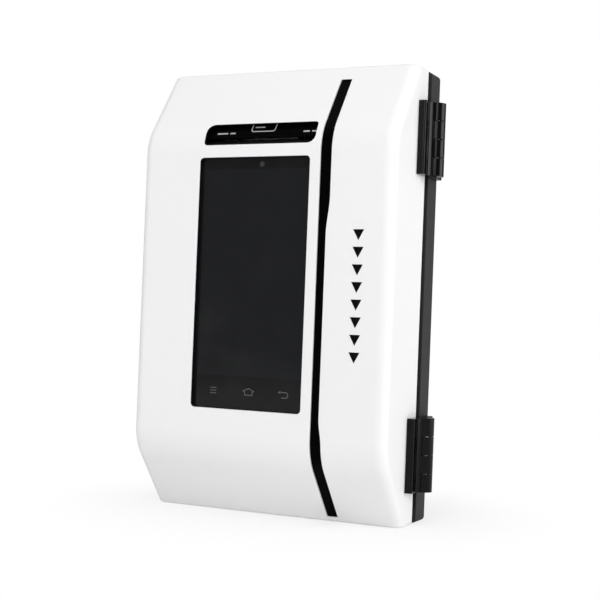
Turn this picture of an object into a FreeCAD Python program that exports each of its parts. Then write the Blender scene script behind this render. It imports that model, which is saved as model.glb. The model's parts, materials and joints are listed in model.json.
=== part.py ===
import FreeCAD, Part
import Sketcher
import math
import os
import re

# Wall-mounted ticketing terminal housing.
# A two-part case (wall tray and hinged front cover) carries a handheld-style
# terminal with a receipt printer.  X points right seen from the front, the
# front faces -Y and Z is up.  The origin is the middle of the wall-fixing hole
# pattern on the back face of the tray.

V = FreeCAD.Vector
X_AXIS = V(1, 0, 0)
Y_AXIS = V(0, 1, 0)
Z_AXIS = V(0, 0, 1)

doc = FreeCAD.newDocument("ticket_terminal_housing")
sheet = doc.addObject("Spreadsheet::Sheet", "Dims")

# Every driving size, in millimetres or degrees.
SIZES = {
    # case
    "case_width": 164.0,
    "case_height": 268.0,
    "tray_depth": 22.0,
    "cover_depth": 50.0,
    "edge_depth": 18.5,
    "top_rise": 44.0,
    "bottom_rise": 39.0,
    "wall": 2.5,
    "seam_gap": 0.5,
    "overcut": 1.0,
    "screw_radius": 1.5,
    "bend_radius": 30.0,
    "rim_radius": 2.0,
    "side_radius": 6.5,
    "corner_radius": 2.5,
    # tray
    "tray_flange": 6.0,
    "tray_face": 16.3,
    "tray_back_radius": 1.5,
    "gasket_inset": 1.5,
    "gasket_width": 4.0,
    "gasket_neck": 1.0,
    "gasket_gap": 0.4,
    "gasket_step": 1.5,
    "gasket_corner": 1.0,
    "screw_inset": 9.0,
    "fixing_spacing_x": 130.0,
    "fixing_spacing_z": 200.0,
    "fixing_radius": 2.75,
    "grommet_x": -30.0,
    "grommet_z": -105.0,
    "grommet_radius": 8.0,
    "grommet_bore": 3.5,
    "grommet_rim": 3.0,
    "grommet_lip": 2.0,
    "grommet_step": 0.5,
    # openings of the cover
    "screen_left": -41.9,
    "screen_right": 30.1,
    "screen_height": 148.0,
    "screen_top_drop": 12.4,
    "screen_radius": 2.5,
    "reader_left": -40.0,
    "reader_right": 32.5,
    "reader_height": 13.0,
    "reader_drop": 5.0,
    "reader_large_radius": 5.0,
    "reader_small_radius": 2.2,
    "arrow_x": 61.8,
    "arrow_width": 6.7,
    "arrow_height": 6.2,
    "arrow_first_top": 35.4,
    "arrow_pitch": 9.87,
    "arrow_count": 8,
    # accent strip
    "strip_left": 36.7,
    "strip_wide": 6.7,
    "strip_narrow": 4.9,
    "strip_top": 125.5,
    "strip_bottom": -131.0,
    "strip_waist_top": 32.0,
    "strip_shoulder_top": 55.0,
    "strip_waist_bottom": -72.0,
    "strip_shoulder_bottom": -88.0,
    "groove_depth": 1.3,
    "strip_depth": 0.7,
    # hinges
    "barrel_radius": 5.2,
    "barrel_gap": 0.8,
    "leaf_thickness": 4.4,
    "leaf_front": 15.0,
    "leaf_rear": 18.0,
    "leaf_fillet": 5.0,
    "hinge_length": 43.0,
    "hinge_upper_z": 92.0,
    "hinge_lower_z": -92.5,
    "knuckle_gap": 0.4,
    "pin_radius": 2.0,
    "pin_clearance": 0.05,
    "hinge_screw_spread": 24.0,
    "cover_screw_set": 5.0,
    "leaf_edge_radius": 1.2,
    "cover_leaf_gap": 1.0,
    "tray_leaf_gap": 3.5,
    "knuckle_sweep": 0.5,
    "pin_end": 0.5,
    "hinge_head_radius": 2.8,
    "hinge_head": 1.8,
    "hinge_screw_end": 1.2,
    "thread_grip": 0.5,
    # lock
    "lock_y": -40.0,
    "lock_radius": 9.0,
    "plug_radius": 6.0,
    "plug_clearance": 0.05,
    "cam_length": 24.0,
    "cam_width": 12.0,
    "cam_thickness": 2.0,
    "lock_rim": 2.0,
    "lock_flange": 2.0,
    "lock_tube": 15.0,
    "nut_rim": 4.0,
    "nut_thickness": 4.0,
    "plug_proud": 1.8,
    "plug_end": 0.3,
    "key_slot_width": 1.6,
    "key_slot_height": 7.0,
    "key_slot_depth": 5.0,
    "plug_tap_start": 7.0,
    "cam_hub_radius": 7.0,
    "cam_head_radius": 3.2,
    "cam_head": 1.6,
    "cam_screw_grip": 6.0,
    "keeper_start": 11.0,
    "keeper_width": 10.0,
    "keeper_clear": 1.5,
    "keeper_foot": 16.0,
    "keeper_sheet": 2.0,
    "keeper_gap": 0.5,
    "keeper_screw_z": 10.0,
    "floor_head_radius": 3.0,
    "floor_head": 2.0,
    # handheld terminal
    "term_x": -6.0,
    "term_width": 82.0,
    "term_bottom_drop": 174.0,
    "term_front": -68.6,
    "term_split": -56.0,
    "term_thin_back": -49.0,
    "term_back": -20.0,
    "term_top_rise": 27.0,
    "term_front_drop": 2.2,
    "slip_bevel": 2.0,
    "term_front_corner": 6.0,
    "term_rear_corner": 5.0,
    "shell_gap": 0.2,
    "part_gap": 0.3,
    "glass_gap": 0.1,
    "glass_seat": 1.0,
    "lid_clear": 0.1,
    "rear_set_back": 2.2,
    "lean_gap": 1.2,
    "camera_x": 4.0,
    "camera_drop": 4.0,
    "camera_radius": 1.8,
    "camera_length": 3.0,
    "camera_gap": 0.05,
    "key_front": -64.0,
    "key_back": -61.0,
    "key_gap": 0.4,
    "key_proud": 1.2,
    "key_foot": 1.2,
    "display_thickness": 2.0,
    "board_gap": 1.8,
    "board_thickness": 1.2,
    "board_half_width": 35.0,
    "board_bottom": 4.0,
    "board_top_drop": 30.0,
    "battery_half_width": 31.0,
    "battery_thickness": 9.2,
    "battery_bottom": 29.0,
    "battery_top": 4.0,
    "speaker_x": 22.0,
    "speaker_z": 14.0,
    "speaker_back": -57.5,
    "speaker_rim_radius": 6.5,
    "speaker_rim": 3.0,
    "speaker_cone_radius": 4.5,
    "speaker_cone": 1.0,
    "hump_start_drop": 68.0,
    "hump_end_drop": 48.0,
    "term_wall": 2.0,
    "glass_margin": 2.1,
    "glass_thickness": 1.1,
    "glass_proud": 0.2,
    "display_left": -40.2,
    "display_right": 28.3,
    "display_height": 121.8,
    "display_top_drop": 19.1,
    "lid_depth": 3.0,
    "lid_thickness": 2.4,
    "lid_start_drop": 0.8,
    "lid_side_gap": 0.5,
    "lid_pin_drop": 5.0,
    "lid_pin_depth": 1.6,
    "lid_pin_radius": 1.2,
    "lid_lug_radius": 2.6,
    "lid_lug_width": 4.0,
    "antenna_half_width": 33.0,
    "antenna_thickness": 0.4,
    "antenna_bottom": 7.0,
    "antenna_top": 9.0,
    # printer
    "paper_left": -41.0,
    "paper_width": 57.0,
    "roll_y": -38.5,
    "roll_drop": 10.0,
    "roll_radius": 15.0,
    "core_radius": 6.5,
    "bucket_gap": 1.2,
    "platen_y": -61.2,
    "platen_drop": 5.2,
    "platen_radius": 4.0,
    "shaft_radius": 1.5,
    "gear_module": 0.5,
    "platen_teeth": 18,
    "pinion_teeth": 12,
    "gear_backlash": 0.15,
    "motor_radius": 5.0,
    "motor_length": 8.0,
    "frame_plate": 1.5,
    "frame_left_gap": 1.5,
    "frame_right_gap": 2.5,
    "frame_front": 4.0,
    "frame_back": 3.5,
    "frame_low": 2.0,
    "frame_high": 6.0,
    "frame_under_lid": 1.5,
    "bucket_wall": 1.0,
    "bucket_end": 0.5,
    "bucket_rim_drop": 5.0,
    "spool_rim": 3.0,
    "spool_wall": 1.5,
    "spool_reach": 6.0,
    "shaft_play": 0.05,
    "motor_shaft_radius": 0.75,
    "motor_hole_radius": 2.0,
    "gear_width": 2.6,
    "gear_start": 0.5,
    "shaft_tail": 3.5,
    "sleeve_over": 0.5,
    "motor_set_back": 1.4,
    "motor_seat": 4.0,
    "motor_seat_radius": 0.8,
    "motor_stub": 6.2,
    "head_gap": 0.4,
    "head_thickness": 2.4,
    "head_low": 5.0,
    "head_high": 3.0,
    "tear_thickness": 0.8,
    "tear_height": 3.8,
    "grip_gap": 0.3,
    "plate_gap": 2.6,
    "cradle_low": 2.0,
    "cheek_front": 4.0,
    "cheek_height": 84.0,
    "notch_left": 1.0,
    "notch_right": 13.0,
    "notch_front": -66.0,
    "notch_back": -52.0,
    "standoff_out": 33.0,
    "standoff_low": 12.0,
    "standoff_high": 94.0,
    "standoff_radius": 4.0,
    "standoff_bore": 2.0,
    "standoff_head_radius": 3.6,
    "standoff_head": 2.2,
    "standoff_thread": 8.0,
    "back_window_half": 22.0,
    "back_window_low": 24.0,
    "thumb_y": -58.0,
    "thumb_low": 34.0,
    "thumb_high": 64.0,
    "thumb_radius": 3.5,
    "thumb_head": 4.0,
    "thumb_thread": 1.5,
    "rest_low": 18.0,
    "rest_height": 12.0,
    "rest_thickness": 3.0,
    "rest_out": 28.0,
    "rest_leg": 4.0,
    "rest_step": 2.0,
    "lamp_end": 2.0,
    "lamp_behind": 6.0,
    "lamp_board": 1.6,
    "lamp_board_half": 6.5,
    "lamp_half": 1.6,
    "lamp_height": 1.2,
    "lamp_drop": 0.4,
    "bracket_sheet": 1.5,
    "bracket_half": 8.0,
    "bracket_relief_front": -50.0,
    "bracket_relief_back": -12.0,
    "bracket_relief_end": 12.0,
    "bracket_screw_end": 8.0,
    "bracket_hole": 1.5,
    "bracket_head_radius": 3.0,
    "bracket_head": 2.0,
    "module_left": 44.0,
    "module_right": 74.0,
    "module_front": -28.0,
    "module_bottom": -122.0,
    "module_top": -66.0,
    "module_lid": 0.6,
    "module_step": 1.0,
    "rib_step": 2.0,
    "rib_first": 4.0,
    "rib_pitch": 6.0,
    "rib_width": 1.6,
    "rib_height": 0.4,
    "outlet_wall": 0.8,
    "outlet_length": 4.0,
    "terminals_left": 50.0,
    "terminals_right": 74.0,
    "terminals_front": -14.0,
    "terminals_bottom": -62.0,
    "terminals_top": -50.0,
    "terminal_first": 4.0,
    "terminal_pitch": 6.0,
    "terminal_well": 2.4,
    "terminal_well_depth": 4.0,
    "terminal_sunk": 1.5,
    "terminal_slot": 0.8,
    "terminal_slot_depth": 0.8,
    "lead_lift": 1.6,
    "lead_start": 42.0,
    "port_x": 7.0,
    "port_y": -59.0,
    "port_gap": 0.4,
    "clip_wall": 1.4,
    "clip_width": 6.0,
    "clip_foot": 5.0,
    "clip_low_x": 14.0,
    "clip_high_x": 30.0,
    "fork_back_y": -24.0,
    "fork_front_y": -46.0,
    "fork_left": 3.0,
    "fork_post": 1.0,
    "fork_right": 6.0,
    "fork_drop": 9.0,
    "fork_post_top": 4.0,
    # cradle and inner parts
    "cradle_sheet": 1.5,
    "cradle_height": 104.0,
    "lead_radius": 1.75,
    "lead_bend": 8.0,
    "lead_z": -100.0,
}

# Places that follow from the sizes.  The handheld terminal hangs from the
# cover's upper bend, so its heights are counted down from there.
PLACES = {
    "hinge_out": "barrel_radius + barrel_gap",
    "top_bend": "case_height / 2 - top_rise",
    "bottom_bend": "bottom_rise - case_height / 2",
    "screen_top": "top_bend - screen_top_drop",
    "screen_bottom": "top_bend - screen_top_drop - screen_height",
    "reader_bottom": "top_bend - reader_drop",
    "reader_top": "top_bend - reader_drop + reader_height",
    "term_bottom": "top_bend - term_bottom_drop",
    "term_top": "top_bend + term_top_rise",
    "term_front_top": "top_bend - term_front_drop",
    "hump_start": "top_bend - hump_start_drop",
    "hump_end": "top_bend - hump_end_drop",
    "display_top": "top_bend - display_top_drop",
    "display_bottom": "top_bend - display_top_drop - display_height",
    "lid_start": "top_bend - lid_start_drop",
    "roll_z": "top_bend - roll_drop",
    "platen_z": "top_bend - platen_drop",
    "cradle_top": "top_bend - term_bottom_drop - 2 + cradle_height",
}

for row, (alias, value) in enumerate(SIZES.items(), start=1):
    cell = "A" + str(row)
    sheet.set(cell, str(value))
    sheet.setAlias(cell, alias)
doc.recompute()

subparts = []


# ---------------------------------------------------------------- helpers

WORD = re.compile(r"[a-z][a-z_0-9]*")


def spelled_out(expression):
    """The expression with each derived place written in driving sizes."""
    def spell(match):
        word = match.group(0)
        return "(" + spelled_out(PLACES[word]) + ")" if word in PLACES else word
    return WORD.sub(spell, str(expression))


def on_sheet(expression):
    """The expression with each size name pointed at the sheet."""
    def point(match):
        word = match.group(0)
        return "Dims." + word if word in SIZES else word
    return WORD.sub(point, spelled_out(expression))


def size(expression):
    """The number an expression over the sheet gives."""
    value = sheet.evalExpression(spelled_out(expression))
    return float(getattr(value, "Value", value))


def bind(thing, prop, expression):
    """Tie a property to an expression over the sheet."""
    thing.setExpression(prop, on_sheet(expression))


def sub_part(thing, name):
    """Name an object as a finished sub-part."""
    thing.Label = name
    subparts.append(thing)
    return thing


def new_body(name):
    body = doc.addObject("PartDesign::Body", name)
    body.Label = name
    return body


def plane_of(body, role):
    """Origin plane of a body by its role."""
    for feature in body.Origin.OriginFeatures:
        if feature.Role == role:
            return feature
    raise ValueError(role)


def new_sketch(body, name, role, lift):
    """Empty sketch on a body plane, lifted along the plane normal."""
    sketch = body.newObject("Sketcher::SketchObject", name)
    sketch.AttachmentSupport = [(plane_of(body, role), "")]
    sketch.MapMode = "FlatFace"
    bind(sketch, "AttachmentOffset.Base.z", lift)
    return sketch


def add_loop(sketch, corners):
    """Closed straight-sided loop; every corner is a pair of expressions."""
    points = [V(size(a), size(b), 0) for a, b in corners]
    first = sketch.GeometryCount
    count = len(points)
    for index in range(count):
        line = Part.LineSegment(points[index], points[(index + 1) % count])
        sketch.addGeometry(line, False)
    for index in range(count):
        following = first + (index + 1) % count
        sketch.addConstraint(Sketcher.Constraint("Coincident", first + index, 2, following, 1))
    for index, corner in enumerate(corners):
        for kind, value, expression in (
                ("DistanceX", points[index].x, corner[0]),
                ("DistanceY", points[index].y, corner[1])):
            number = sketch.addConstraint(
                Sketcher.Constraint(kind, -1, 1, first + index, 1, value))
            bind(sketch, "Constraints[" + str(number) + "]", expression)


def add_circle(sketch, across, up, radius):
    """Circle whose centre and radius are expressions."""
    centre = V(size(across), size(up), 0)
    index = sketch.addGeometry(Part.Circle(centre, V(0, 0, 1), size(radius)), False)
    for constraint, expression in (
            (Sketcher.Constraint("DistanceX", -1, 1, index, 3, centre.x), across),
            (Sketcher.Constraint("DistanceY", -1, 1, index, 3, centre.y), up),
            (Sketcher.Constraint("Radius", index, size(radius)), radius)):
        number = sketch.addConstraint(constraint)
        bind(sketch, "Constraints[" + str(number) + "]", expression)


def pin_point(sketch, geometry, end, across, up):
    """Hold one end of a line at a pair of expressions."""
    for kind, expression in (("DistanceX", across), ("DistanceY", up)):
        number = sketch.addConstraint(
            Sketcher.Constraint(kind, -1, 1, geometry, end, size(expression)))
        bind(sketch, "Constraints[" + str(number) + "]", expression)


def add_rounded_rectangle(sketch, left, right, low, high, radii):
    """Upright rectangle with its own radius at each corner.

    The radii go round from the low left corner: low left, low right,
    high right, high left.
    """
    low_left, low_right, high_right, high_left = radii
    lines = [
        ((left + " + " + low_left, low), (right + " - " + low_right, low)),
        ((right, low + " + " + low_right), (right, high + " - " + high_right)),
        ((right + " - " + high_right, high), (left + " + " + high_left, high)),
        ((left, high + " - " + high_left), (left, low + " + " + low_left)),
    ]
    for start, end in lines:
        segment = Part.LineSegment(V(size(start[0]), size(start[1]), 0),
                                   V(size(end[0]), size(end[1]), 0))
        number = sketch.addGeometry(segment, False)
        pin_point(sketch, number, 1, *start)
        pin_point(sketch, number, 2, *end)
    centres = [
        (right + " - " + low_right, low + " + " + low_right, low_right, 270),
        (right + " - " + high_right, high + " - " + high_right, high_right, 0),
        (left + " + " + high_left, high + " - " + high_left, high_left, 90),
        (left + " + " + low_left, low + " + " + low_left, low_left, 180),
    ]
    for index, (across, up, radius, turn) in enumerate(centres):
        circle = Part.Circle(V(size(across), size(up), 0), V(0, 0, 1), size(radius))
        start = math.radians(turn)
        arc = Part.ArcOfCircle(circle, start, start + math.pi / 2)
        number = sketch.addGeometry(arc, False)
        sketch.addConstraint(Sketcher.Constraint("Coincident", index, 2, number, 1))
        sketch.addConstraint(Sketcher.Constraint("Coincident", number, 2, (index + 1) % 4, 1))
        held = sketch.addConstraint(Sketcher.Constraint("Radius", number, size(radius)))
        bind(sketch, "Constraints[" + str(held) + "]", radius)


def rectangle(left, right, low, high):
    """Corners of an upright rectangle."""
    return [(left, low), (right, low), (right, high), (left, high)]


def pad(body, sketch, length, midplane=False, backwards=False):
    feature = body.newObject("PartDesign::Pad", sketch.Name + "_pad")
    feature.Profile = sketch
    feature.Midplane = midplane
    feature.Reversed = backwards
    bind(feature, "Length", length)
    doc.recompute()
    return feature


def pocket(body, sketch, length, midplane=False, backwards=False):
    """Cut a sketch out of the body and make sure material went away."""
    before = body.Shape.Volume
    feature = body.newObject("PartDesign::Pocket", sketch.Name + "_pocket")
    feature.Profile = sketch
    feature.Midplane = midplane
    feature.Reversed = backwards
    bind(feature, "Length", length)
    doc.recompute()
    if feature.Shape.Volume > before - 1e-3:
        raise ValueError(feature.Name + " cuts nothing")
    return feature


def round_edges(body, name, radius, wanted):
    """Fillet the edges of the body's last feature that a test picks."""
    base = body.Tip
    picked = ["Edge" + str(number) for number, edge in enumerate(base.Shape.Edges, start=1)
              if wanted(edge)]
    if not picked:
        raise ValueError(name + " finds no edge")
    feature = body.newObject("PartDesign::Fillet", name)
    feature.Base = (base, picked)
    bind(feature, "Radius", radius)
    doc.recompute()
    return feature


def runs_along(edge, axis):
    """True for a straight edge parallel to an axis."""
    if len(edge.Vertexes) != 2:
        return False
    reach = edge.Vertexes[1].Point - edge.Vertexes[0].Point
    if reach.Length < 1e-6 or abs(reach.Length - edge.Length) > 1e-6:
        return False
    return abs(abs(reach.normalize().dot(axis)) - 1) < 1e-6


def near(value, target, slack=0.01):
    return abs(value - target) < slack


def block(x0, x1, y0, y1, z0, z1, name="block"):
    """Part box between two corners given as expressions."""
    thing = doc.addObject("Part::Box", name)
    for prop, low, high in (("Length", x0, x1), ("Width", y0, y1), ("Height", z0, z1)):
        bind(thing, prop, "(" + str(high) + ") - (" + str(low) + ")")
    for axis, low in (("x", x0), ("y", y0), ("z", z0)):
        bind(thing, "Placement.Base." + axis, low)
    return thing


TURNS = {
    "x": FreeCAD.Rotation(Y_AXIS, 90),
    "y": FreeCAD.Rotation(X_AXIS, -90),
    "z": FreeCAD.Rotation(),
}


def rod(axis, x, y, z, radius, length, name="rod"):
    """Part cylinder that starts at a point and runs along +X, +Y or +Z."""
    thing = doc.addObject("Part::Cylinder", name)
    thing.Placement = FreeCAD.Placement(V(), TURNS[axis])
    bind(thing, "Radius", radius)
    bind(thing, "Height", length)
    for letter, value in (("x", x), ("y", y), ("z", z)):
        bind(thing, "Placement.Base." + letter, value)
    return thing


def joined(parts, name="joined"):
    """Several overlapping objects made one solid."""
    thing = doc.addObject("Part::MultiFuse", name)
    thing.Shapes = parts
    thing.Refine = True
    return thing


def without(base, tools, name="without"):
    """An object with others cut out of it."""
    thing = doc.addObject("Part::Cut", name)
    thing.Base = base
    thing.Tool = tools[0] if len(tools) == 1 else joined(tools, name + "_tools")
    thing.Refine = True
    return thing


def group(parts, name="group"):
    """Separate identical solids kept together as one sub-part."""
    thing = doc.addObject("Part::Compound", name)
    thing.Links = parts
    return thing


def formed(shape, name):
    """Part object that holds a computed shape."""
    thing = doc.addObject("Part::Feature", name)
    thing.Shape = shape
    return thing


# ------------------------------------------------ side profile of the cover

SEAM_Y = "-(tray_depth + seam_gap)"
EDGE_Y = "-(tray_depth + edge_depth)"
FRONT_Y = "-(tray_depth + cover_depth)"
RUN = "(cover_depth - edge_depth)"
TOP_TURN = "atan(top_rise / " + RUN + ")"
BOTTOM_TURN = "atan(bottom_rise / " + RUN + ")"


def cover_profile(inset):
    """Corners (Y, Z) of the cover's side view, moved inwards by an amount."""
    d = "(" + str(inset) + ")"
    return [
        (SEAM_Y, "-case_height / 2 + " + d),
        (EDGE_Y + " + " + d + " * tan(" + BOTTOM_TURN + " / 2)", "-case_height / 2 + " + d),
        (FRONT_Y + " + " + d, "bottom_bend + " + d + " * tan(45deg - " + BOTTOM_TURN + " / 2)"),
        (FRONT_Y + " + " + d, "top_bend - " + d + " * tan(45deg - " + TOP_TURN + " / 2)"),
        (EDGE_Y + " + " + d + " * tan(" + TOP_TURN + " / 2)", "case_height / 2 - " + d),
        (SEAM_Y, "case_height / 2 - " + d),
    ]


def rounded_face(corners, radii):
    """Face in the YZ plane with tangent arcs at its corners."""
    points = [V(0, y, z) for y, z in corners]
    edges = []
    starts = []
    ends = []
    count = len(points)
    for index, point in enumerate(points):
        back = (points[index - 1] - point).normalize()
        ahead = (points[(index + 1) % count] - point).normalize()
        half = back.getAngle(ahead) / 2
        reach = radii[index] / math.tan(half)
        middle = point + (back + ahead).normalize() * (radii[index] / math.sin(half) - radii[index])
        starts.append(point + back * reach)
        ends.append(point + ahead * reach)
        if radii[index] > 0:
            edges.append(Part.Arc(starts[-1], middle, ends[-1]).toShape())
    for index in range(count):
        following = (index + 1) % count
        edges.append(Part.makeLine(ends[index], starts[following]))
    return Part.Face(Part.Wire(Part.__sortEdges__(edges)))


def cover_form(inset, width):
    """Solid of the cover's side view at a depth under the skin."""
    corners = [(size(y), size(z)) for y, z in cover_profile(inset)]
    rim = size("rim_radius") - inset
    bend = size("bend_radius") - inset
    radii = [0, max(rim, 0.01), bend, bend, max(rim, 0.01), 0]
    face = rounded_face(corners, radii)
    face.translate(V(-width / 2, 0, 0))
    return face.extrude(V(width, 0, 0))


# ---------------------------------------------------------------- back tray

def make_back_tray():
    body = new_body("back_tray")
    half_w = "case_width / 2"
    half_h = "case_height / 2"
    outline = new_sketch(body, "tray_outline", "XZ_Plane", "0")
    add_loop(outline, rectangle("-" + half_w, half_w, "-" + half_h, half_h))
    pad(body, outline, "tray_face")
    round_edges(body, "tray_corners", "corner_radius", lambda edge: runs_along(edge, Y_AXIS))
    round_edges(body, "tray_back_edge", "tray_back_radius",
                lambda edge: near(edge.BoundBox.YMin, 0) and near(edge.BoundBox.YMax, 0))
    # wide inside, then the narrower mouth inside the return flange
    inside = new_sketch(body, "tray_inside", "XZ_Plane", "tray_face - wall")
    add_loop(inside, rectangle("-(case_width / 2 - wall)", "case_width / 2 - wall",
                               "-(case_height / 2 - wall)", "case_height / 2 - wall"))
    pocket(body, inside, "tray_face - wall - wall")
    mouth = new_sketch(body, "tray_mouth", "XZ_Plane", "tray_face")
    add_loop(mouth, rectangle("-(case_width / 2 - tray_flange)", "case_width / 2 - tray_flange",
                              "-(case_height / 2 - tray_flange)", "case_height / 2 - tray_flange"))
    pocket(body, mouth, "wall + overcut / 10")
    # wall fixings and the cable entry go through the back
    holes = new_sketch(body, "wall_fixings", "XZ_Plane", "wall")
    for side in ("-", ""):
        for end in ("-", ""):
            add_circle(holes, side + "fixing_spacing_x / 2", end + "fixing_spacing_z / 2",
                       "fixing_radius")
    add_circle(holes, "grommet_x", "grommet_z", "grommet_radius")
    pocket(body, holes, "wall + overcut")
    # hinge screw holes in the right-hand side wall
    screws = new_sketch(body, "tray_hinge_holes", "YZ_Plane", "case_width / 2 + overcut")
    for hinge in ("hinge_upper_z", "hinge_lower_z"):
        for end in (" - ", " + "):
            add_circle(screws, TRAY_SCREW_Y, hinge + end + "hinge_screw_spread / 2",
                       "screw_radius")
    pocket(body, screws, "wall + 2 * overcut")
    return sub_part(body, "back_tray")


TRAY_SCREW_Y = "-screw_inset"
COVER_SCREW_Y = "-(tray_depth + leaf_front) + cover_screw_set"


def make_gasket():
    body = new_body("gasket")
    for name, front, back, outer in (
            ("gasket_lip", "tray_depth + seam_gap - gasket_gap", "tray_face + gasket_neck",
             "gasket_inset"),
            ("gasket_neck", "tray_face + gasket_neck", "tray_face", "gasket_inset + gasket_step")):
        ring = new_sketch(body, name + "_ring", "XZ_Plane", back)
        inner = "gasket_inset + gasket_width"
        for edge in (outer, inner):
            add_loop(ring, rectangle("-(case_width / 2 - (" + edge + "))",
                                     "case_width / 2 - (" + edge + ")",
                                     "-(case_height / 2 - (" + edge + "))",
                                     "case_height / 2 - (" + edge + ")"))
        pad(body, ring, "(" + front + ") - (" + back + ")")
    round_edges(body, "gasket_corners", "gasket_corner",
                lambda edge: runs_along(edge, Y_AXIS))
    return sub_part(body, "gasket")


def make_cable_grommet():
    lip = rod("y", "grommet_x", "-wall - grommet_lip", "grommet_z",
              "grommet_radius + grommet_rim", "grommet_lip")
    neck = rod("y", "grommet_x", "-wall", "grommet_z", "grommet_radius", "wall - grommet_step")
    bore = rod("y", "grommet_x", "-wall - grommet_lip - overcut", "grommet_z", "grommet_bore",
               "wall + grommet_lip + 2 * overcut")
    return sub_part(without(joined([lip, neck]), [bore]), "cable_grommet")


# -------------------------------------------------------------- front cover

def make_cover_form():
    """Outside of the cover as one solid; the hollow is cut from it later."""
    body = new_body("cover_form")
    side = new_sketch(body, "cover_side", "YZ_Plane", "0")
    add_loop(side, cover_profile("0"))
    pad(body, side, "case_width", midplane=True)
    front = size(FRONT_Y)
    edge_y = size(EDGE_Y)
    seam = size(SEAM_Y)
    half_w = size("case_width / 2")
    half_h = size("case_height / 2")
    round_edges(body, "cover_bends", "bend_radius",
                lambda edge: runs_along(edge, X_AXIS) and near(edge.BoundBox.YMin, front))
    round_edges(body, "cover_sides", "side_radius",
                lambda edge: near(abs(edge.CenterOfMass.x), half_w)
                and edge.BoundBox.YMin < edge_y - 0.1)
    round_edges(body, "cover_rims", "rim_radius",
                lambda edge: near(abs(edge.BoundBox.ZMin), half_h)
                and near(edge.BoundBox.ZMax, edge.BoundBox.ZMin)
                and edge.BoundBox.YMin < seam - 0.1)
    return body


def make_cover_hollow():
    """Space inside the cover, one wall under the skin and open at the seam."""
    body = new_body("cover_hollow")
    side = new_sketch(body, "hollow_side", "YZ_Plane", "0")
    add_loop(side, cover_profile("wall"))
    pad(body, side, "case_width - 2 * wall", midplane=True)
    front = size(FRONT_Y + " + wall")
    round_edges(body, "hollow_bends", "bend_radius - wall",
                lambda edge: runs_along(edge, X_AXIS) and near(edge.BoundBox.YMin, front))
    return body


def cut_cover_windows(body):
    ahead = "-(" + FRONT_Y + ") + overcut"
    screen = new_sketch(body, "screen_window", "XZ_Plane", ahead)
    add_rounded_rectangle(screen, "screen_left", "screen_right", "screen_bottom", "screen_top",
                          ["screen_radius"] * 4)
    pocket(body, screen, "wall + 3 * overcut")
    reader = new_sketch(body, "reader_window", "XZ_Plane", ahead)
    add_rounded_rectangle(reader, "reader_left", "reader_right", "reader_bottom", "reader_top",
                          ["reader_small_radius", "reader_large_radius"] * 2)
    pocket(body, reader, "wall + reader_height")


def cut_cover_arrows(body):
    """One downward triangle, repeated down the column."""
    sketch = new_sketch(body, "arrow", "XZ_Plane", "-(" + FRONT_Y + ") + overcut")
    add_loop(sketch, [("arrow_x - arrow_width / 2", "arrow_first_top"),
                      ("arrow_x", "arrow_first_top - arrow_height"),
                      ("arrow_x + arrow_width / 2", "arrow_first_top")])
    first = pocket(body, sketch, "wall + 2 * overcut")
    column = body.newObject("PartDesign::LinearPattern", "arrow_column")
    column.Originals = [first]
    column.Direction = (sketch, ["V_Axis"])
    column.Reversed = True
    bind(column, "Length", "arrow_pitch * (arrow_count - 1)")
    bind(column, "Occurrences", "arrow_count")
    body.Tip = column
    doc.recompute()


def cut_cover_holes(body):
    """Hinge screw holes on the right, lock hole on the left."""
    screws = new_sketch(body, "cover_hinge_holes", "YZ_Plane", "case_width / 2 + overcut")
    for hinge in ("hinge_upper_z", "hinge_lower_z"):
        for end in (" - ", " + "):
            add_circle(screws, COVER_SCREW_Y, hinge + end + "hinge_screw_spread / 2",
                       "screw_radius")
    pocket(body, screws, "wall + 2 * overcut")
    lock = new_sketch(body, "lock_hole", "YZ_Plane", "-(case_width / 2 - wall - overcut)")
    add_circle(lock, "lock_y", "0", "lock_radius")
    pocket(body, lock, "wall + 2 * overcut")


EASE_STEPS = 8


def strip_outline(clearance):
    """Front-view corners (X, Z) of the accent strip or its groove.

    The right-hand edge eases in to a waist and out again."""
    left = size("strip_left") - clearance
    wide = size("strip_left + strip_wide") + clearance
    narrow = size("strip_left + strip_narrow") + clearance
    low = size("strip_bottom") - clearance
    high = size("strip_top") + clearance
    outline = [(left, low), (wide, low)]
    for start, end, from_x, to_x in (
            ("strip_shoulder_bottom", "strip_waist_bottom", wide, narrow),
            ("strip_waist_top", "strip_shoulder_top", narrow, wide)):
        for step in range(EASE_STEPS + 1):
            share = step / EASE_STEPS
            x = from_x + (to_x - from_x) * (1 - math.cos(math.pi * share)) / 2
            outline.append((x, size(start) + (size(end) - size(start)) * share))
    return outline + [(wide, high), (left, high)]


def strip_prism(clearance):
    points = [V(x, size(FRONT_Y + " - overcut"), z) for x, z in strip_outline(clearance)]
    face = Part.Face(Part.makePolygon(points + points[:1]))
    return face.extrude(V(0, size("cover_depth"), 0))


def make_front_cover():
    body = make_cover_form()
    cut_cover_windows(body)
    cut_cover_arrows(body)
    cut_cover_holes(body)
    # shallow groove that follows the bent front skin
    depth = size("groove_depth")
    prism = strip_prism(0.1)
    groove = formed(prism.cut(cover_form(depth, 400)), "strip_groove")
    return sub_part(without(body, [make_cover_hollow(), groove]), "front_cover")


def make_accent_strip():
    layer = cover_form(size("strip_depth"), 300).cut(cover_form(size("groove_depth"), 400))
    return sub_part(formed(strip_prism(0).common(layer), "accent_strip"), "accent_strip")


def make_arrow_lens():
    """Smoked strip glued behind the column of triangles."""
    low = "arrow_first_top - arrow_pitch * (arrow_count - 1) - arrow_height - 3"
    lens = block("arrow_x - 6", "arrow_x + 6", FRONT_Y + " + wall", FRONT_Y + " + wall + 1.5",
                 low, "arrow_first_top + 3")
    return sub_part(lens, "arrow_lens")


# ------------------------------------------------------------------ hinges

HINGE_X = "case_width / 2 + hinge_out"
HINGE_Y = "-tray_depth"


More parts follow.
